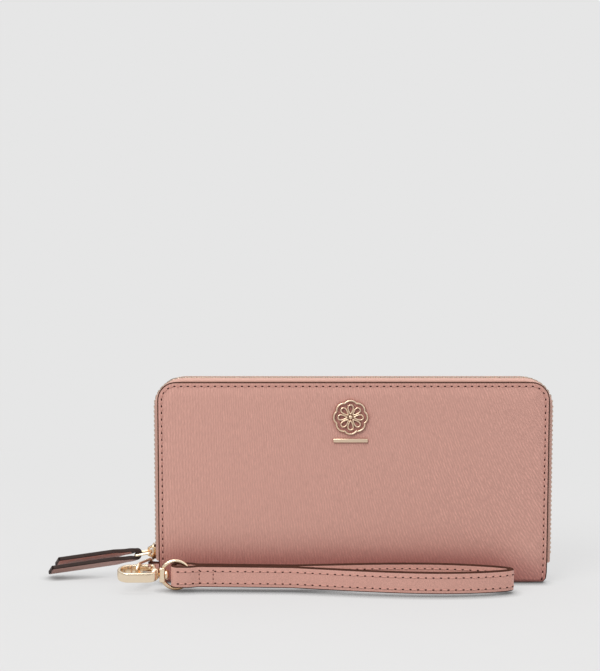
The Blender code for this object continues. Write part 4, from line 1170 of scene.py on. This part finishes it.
def sheet_piece(shape, outline, low, high, soft):
    """Flat soft sheet between two depths, with a rounded rim and crisp faces."""
    steps = tangents(outline, True)
    rings = []
    for depth, inset in bevelled(low, high, soft):
        rings.append([(x - inset * dz, depth, z + inset * dx) for (x, z), (dx, dz) in zip(outline, steps)])
    shape.sweep(rings, ends=False)
    for ring in (rings[0], rings[-1]):
        shape.add(ring, [tuple(range(len(outline)))])


SLOTS = 4
LINING_DEPTHS = (7.5, 8.1)
STOP_HALF_DEPTH = 1.7
POCKET_SWELL = 0.45
POCKET_PINCH = 0.25
BINDING_HALF = 0.75
BINDING_CORNER = 4.0
COIN_TOOTH_PITCH = 1.5
COIN_TOOTH_LEAN = 0.12


def make_end_stop():
    """Small crimped clip that closes the zip's far end."""
    low, high = node_box("zip_end_stop")
    shape = Shape()
    rounded_box(shape, (low[0], -STOP_HALF_DEPTH, low[2]), (high[0] - 0.9, STOP_HALF_DEPTH, high[2]), 0.3)
    build("zip_end_clip", shape, "case", ["zip_gold"], ["zip_end_stop"])


def make_inside():
    """Linings, card slots with stitched mouths, and a stitch line down their middle."""
    for side, body, name in COVERS:
        low, high = node_box(name + "_lining")
        depths = sorted(side * depth for depth in LINING_DEPTHS)
        shape = Shape()
        sheet_piece(shape, rim_outline(high[0], low[2], high[2], TOP_RADIUS - 0.6, 3.0), *depths, 0.15)
        build(name + "_lining_cloth", shape, body, ["lining"], [name + "_lining"])
        thread = Shape()
        for number in range(1, SLOTS + 1):
            node = f"{name}_card_slot_{number}"
            low, high = node_box(node)
            near = low[1] if side > 0 else high[1]
            shape = Shape()
            sheet_piece(shape, rim_outline(high[0], low[2], high[2], 2.5, 1.0), low[1], high[1], 0.3)
            build(node + "_leather", shape, body, ["deep"], [node])
            mouth = [(x, near, high[2] - 1.9) for x in np.linspace(-high[0] + 2, high[0] - 2, 60)]
            stitch_row(thread, mouth, (0, -side, 0), **SLOT_SEAM)
            foot = low[2] + 1 if number == SLOTS else high[2] - 7.4
            middle = [(0.0, near, z) for z in np.linspace(foot, high[2] - 2.4, 30)]
            stitch_row(thread, middle, (0, -side, 0), **MIDDLE_SEAM)
        build(name + "_slot_stitches", thread, body, ["thread", "hole"])


def add_pillowed_panel(shape, low, high, side):
    """Coin pocket panel: two swollen faces with a pinched rim, and the strip that joins them."""
    rows, columns = 21, 41
    points = []
    outer, inner = (low[1], high[1]) if side < 0 else (high[1], low[1])
    for depth, pinch in ((outer, side), (inner, -side)):
        for v in np.linspace(-1, 1, rows):
            for u in np.linspace(-1, 1, columns):
                on_rim = max(abs(u), abs(v)) == 1
                swell = POCKET_SWELL * (1 - u ** 4) * (1 - v ** 4)
                x = u * (high[0] - (0.12 if abs(u) == 1 else 0))
                z = (low[2] + high[2]) / 2 + v * (high[2] - low[2]) / 2
                points.append((x, depth + side * swell - (POCKET_PINCH * pinch if on_rim else 0.0), z))
    total = rows * columns
    faces = grid_faces(rows, columns)
    border = list(range(columns)) + [i * columns + columns - 1 for i in range(1, rows)]
    border += [total - 2 - j for j in range(columns - 1)] + [i * columns for i in range(rows - 2, 0, -1)]
    rim = [(here, after, after + total, here + total) for here, after in zip(border, border[1:] + border[:1])]
    shape.add(points, faces + [tuple(total + index for index in face) for face in faces] + rim)


def make_coin_pocket():
    """Two gently pillowed panels, a bound rim, and a small zip along the top."""
    for name, side in (("front", -1), ("rear", 1)):
        node = "coin_pocket_" + name + "_panel"
        shape = Shape()
        add_pillowed_panel(shape, *node_box(node), side)
        build(node + "_cloth", shape, "coin_pocket", ["lining"], [node])

        node = "coin_zip_" + name + "_tape"
        low, high = node_box(node)
        shape = Shape()
        sheet_piece(shape, rim_outline(high[0], low[2], high[2], 0.5, 0.5), low[1], high[1], 0.1)
        shape.weave = [(x, z, 1.0) for x, _, z in shape.points]
        build(node + "_cloth", shape, "coin_pocket", ["tape"], [node])

    low, high = node_box("coin_pocket_binding")
    half = high[0]
    corner = BINDING_CORNER
    path = [(BINDING_HALF - half, z) for z in np.linspace(high[2], low[2] + corner, 20)]
    path += arc((corner - half, low[2] + corner), corner - BINDING_HALF, 180, 270, 8)[1:]
    path += [(x, low[2] + BINDING_HALF) for x in np.linspace(corner + 1 - half, half - corner - 1, 60)]
    path += arc((half - corner, low[2] + corner), corner - BINDING_HALF, 270, 360, 8)
    path += [(half - BINDING_HALF, z) for z in np.linspace(low[2] + corner + 1, high[2], 20)]
    shape = Shape()
    section = rounded_section(BINDING_HALF, high[1], 0.45, 4)
    sweep_band(shape, [(x, 0.0, z) for x, z in path], section, up=(0, 1, 0))
    build("coin_pocket_bound_edge", shape, "coin_pocket", ["deep"], ["coin_pocket_binding"])

    low, high = node_box("coin_zip_teeth")
    shape = Shape()
    for index, x in enumerate(np.arange(low[0] + 1, high[0] - 0.8, COIN_TOOTH_PITCH)):
        lean = COIN_TOOTH_LEAN if index % 2 else -COIN_TOOTH_LEAN
        foot = (x, low[1] + 0.05 + lean, low[2])
        rounded_box(shape, foot, (x + 1.0, high[1] - 0.05 + lean, high[2] + 0.05), 0.16)
    build("coin_teeth_row", shape, "coin_pocket", ["zip_gold"], ["coin_zip_teeth"])


def make_gussets():
    """Accordion side walls."""
    for sign, name in ((-1, "left_gusset"), (1, "right_gusset")):
        low, high = node_box(name)
        outer = max(abs(low[0]), abs(high[0])) - 0.2
        start = high[1]
        fold = 3.5
        pocket = 2.85
        inner, edge = 84.2, 92.3
        half_path = [(outer, start), (outer, fold + 0.9), (outer - 0.25, fold + 0.25), (outer - 0.9, fold),
                     (inner + 0.6, fold), (inner + 0.15, fold - 0.1), (inner, (fold + pocket) / 2),
                     (inner + 0.15, pocket + 0.1), (inner + 0.6, pocket), (edge - 0.8, pocket),
                     (edge - 0.2, pocket - 0.2), (edge, pocket - 0.8)]
        path = [(sign * x, -y) for x, y in half_path] + [(sign * x, y) for x, y in reversed(half_path)]
        path = resample(path, 0.7)
        steps = tangents(path)
        levels = np.linspace(low[2], high[2], 9)
        outline = [(x - 0.17 * dy, y + 0.17 * dx) for (x, y), (dx, dy) in zip(path, steps)]
        outline += [(x + 0.17 * dy, y - 0.17 * dx) for (x, y), (dx, dy) in zip(path[::-1], steps[::-1])]
        rings = []
        for level in levels:
            ring = []
            for x, y in outline:
                inset = (outer - abs(x)) / (outer - inner)
                sag = 2.2 * inset * smooth_step((level - low[2]) / (high[2] - low[2]))
                ring.append((x, y, level - sag))
            rings.append(ring)
        shape = Shape()
        shape.sweep(rings, 0)
        bend = ("case", "back_cover", (0, low[1] * MM, 0), (0, high[1] * MM, 0))
        build(name + "_leather", shape, None, ["deep"], [name], bend=bend)


# ---------------------------------------------------------------- metal and board parts shown as made

# CAD node, its material and the width of its rounded edges
POLISHED_PARTS = (("slider_body", "gold", 0.22), ("coin_slider", "gold", 0.15), ("coin_puller", "gold", 0.2),
                  ("gate_spring", "steel", 0.05), ("front_cover_board", "board", 0.15),
                  ("back_cover_board", "board", 0.15), ("spine_board", "lining", 0.15))


def polish_cad_part(name, look, bevel):
    """Round off a hard part's edges and give it its finish."""
    obj = frame["nodes"][name]
    obj.data.materials.clear()
    obj.data.materials.append(MATERIALS[look])
    weld = obj.modifiers.new("weld", "WELD")
    weld.merge_threshold = 0.001 * MM
    soften = obj.modifiers.new("soften", "BEVEL")
    soften.width = bevel * MM
    soften.segments = 3
    soften.limit_method = "ANGLE"
    soften.angle_limit = math.radians(32)
    soften.harden_normals = False


# ---------------------------------------------------------------- stage, light and camera

CAMERA_PLACE = (-0.0266, -0.660, 0.1819)
CAMERA_TILT = 5.03
CAMERA_LENS = 70.86
SENSOR_WIDTH = 36.0
FLOOR_RADIUS = 12.0
FLOOR_DROP = 0.0003
FLOOR_SHADE = 0.27
FLOOR_ALBEDO = 0.55
FLOOR_BOUNCE = 0.32
WORLD_STRENGTH = 0.80
WORLD_STEPS = ((0.30, (0.10, 0.08, 0.075)), (0.95, (1.0, 1.0, 1.0)), (0.52, (0.34, 0.32, 0.31)),
               (0.66, (0.95, 0.95, 0.95)))
AIM = (0, 0, 0.05)
# name, place, target, size, power, colour
LIGHTS = (("soft_key", (-0.8, -0.95, 1.2), AIM, 1.0, 19.3, (1.0, 0.985, 0.965)),
          ("soft_fill", (1.3, -0.9, 1.0), AIM, 1.4, 3.3, (0.97, 0.985, 1.0)),
          ("top_wash", (0.0, 0.15, 1.6), AIM, 1.8, 9.5, (1, 1, 1)),
          ("side_wash", (1.3, 0.25, 0.45), (0.09, 0, 0.05), 0.6, 4.3, (1, 1, 1)))


def link_object(name, data):
    obj = bpy.data.objects.new(name, data)
    bpy.context.scene.collection.objects.link(obj)
    return obj


def floor_material():
    """Pale floor: an even glowing tone, with painted shadow and a soft real shadow near the wallet, dimmer
    for the light it bounces.
    """
    nodes = material_nodes("pale_floor")
    grain = nodes.noise(nodes.place(), 40.0)
    base = nodes.mix_colour(nodes.spread(grain, 0.0, 1.0), (FLOOR_ALBEDO,) * 3, (FLOOR_ALBEDO * 0.985,) * 3)
    shader = nodes.tree.nodes["Principled BSDF"]
    for key, value in (("Base Color", base), ("Roughness", 0.95), ("Specular IOR Level", 0.0)):
        nodes.feed(shader.inputs[key], value)
    # painted shadow: the floor's glow is dimmed where the wallet's parts stand close by
    painted_shade = nodes.openness(0.006, 0.15, 1.0, 0.45, 0.97)
    glow = nodes.add("Emission", {"Color": (BACKDROP,) * 3, "Strength": painted_shade})
    distance = nodes.add("VectorMath", {0: nodes.place()}, operation="LENGTH").outputs["Value"]
    lit = nodes.spread(distance, FLOOR_SHADE, 0.0, 0.16, 0.45)
    seen = nodes.add("MixShader", {0: lit, 1: glow, 2: shader})
    bounce = nodes.add("BsdfDiffuse", {"Color": (FLOOR_BOUNCE,) * 3})
    path = nodes.add("LightPath")
    direct = nodes.math("MAXIMUM", path.outputs["Is Camera Ray"], path.outputs["Is Glossy Ray"])
    nodes.feed(nodes.tree.nodes["Material Output"].inputs["Surface"],
               nodes.add("MixShader", {0: direct, 1: bounce, 2: seen}))
    return nodes.owner


def add_floor():
    """Wide disc centred on the wallet."""
    mesh = bpy.data.meshes.new("stage_floor")
    work = bmesh.new()
    bmesh.ops.create_circle(work, cap_ends=True, segments=96, radius=FLOOR_RADIUS)
    work.to_mesh(mesh)
    work.free()
    mesh.materials.append(floor_material())
    floor = link_object("stage_floor", mesh)
    floor.location = (0.0, 0.0, -FLOOR_DROP)
    return floor


def add_light(name, place, target, size, power, colour):
    data = bpy.data.lights.new(name, "AREA")
    data.size = size
    data.energy = power
    data.color = colour
    light = link_object(name, data)
    light.location = place
    light.rotation_euler = (Vector(target) - Vector(place)).to_track_quat("-Z", "Y").to_euler()
    return light


def add_world():
    """Even backdrop for the camera; brighter above and dimmer low down for the light on the metal."""
    nodes = Nodes(bpy.data.worlds.new("studio_world"))
    split = nodes.add("SeparateXYZ", {0: nodes.add("TexCoord").outputs["Generated"]})
    ramp = nodes.add("ValToRGB", {0: nodes.spread(split.outputs[2], 0.0, 1.0, -1.0, 1.0)})
    steps = ramp.color_ramp.elements
    for index, (level, colour) in enumerate(WORLD_STEPS):
        step = steps[index] if index < 2 else steps.new(level)
        step.position = level
        step.color = (*colour, 1)
    light = nodes.add("Background", {"Color": ramp, "Strength": WORLD_STRENGTH})
    plain = nodes.add("Background", {"Color": (BACKDROP,) * 3})
    mixer = nodes.add("MixShader", {0: nodes.add("LightPath").outputs["Is Camera Ray"], 1: light, 2: plain})
    nodes.feed(nodes.tree.nodes["World Output"].inputs["Surface"], mixer)
    bpy.context.scene.world = nodes.owner


def add_camera():
    data = bpy.data.cameras.new("photo_camera")
    data.lens = CAMERA_LENS
    data.sensor_width = SENSOR_WIDTH
    data.clip_start = 0.01
    data.clip_end = 50.0
    camera = link_object("photo_camera", data)
    camera.location = CAMERA_PLACE
    camera.rotation_euler = (math.radians(90.0 - CAMERA_TILT), 0.0, 0.0)
    bpy.context.scene.camera = camera


# ---------------------------------------------------------------- assembly

make_cover_leather()
make_cover_stitches()
make_zip_tapes()
make_zip_teeth()
make_end_stop()
make_snap_hook()
make_gate()
make_swivel()
make_d_ring()
make_ring_tab()
make_pull_link()
make_puller()
make_strap()
make_ornament()
make_inside()
make_coin_pocket()
make_gussets()
for part, look, bevel in POLISHED_PARTS:
    polish_cad_part(part, look, bevel)
add_floor()
[add_light(*entry) for entry in LIGHTS]
add_world()
add_camera()
bpy.context.scene.view_settings.view_transform = "Standard"
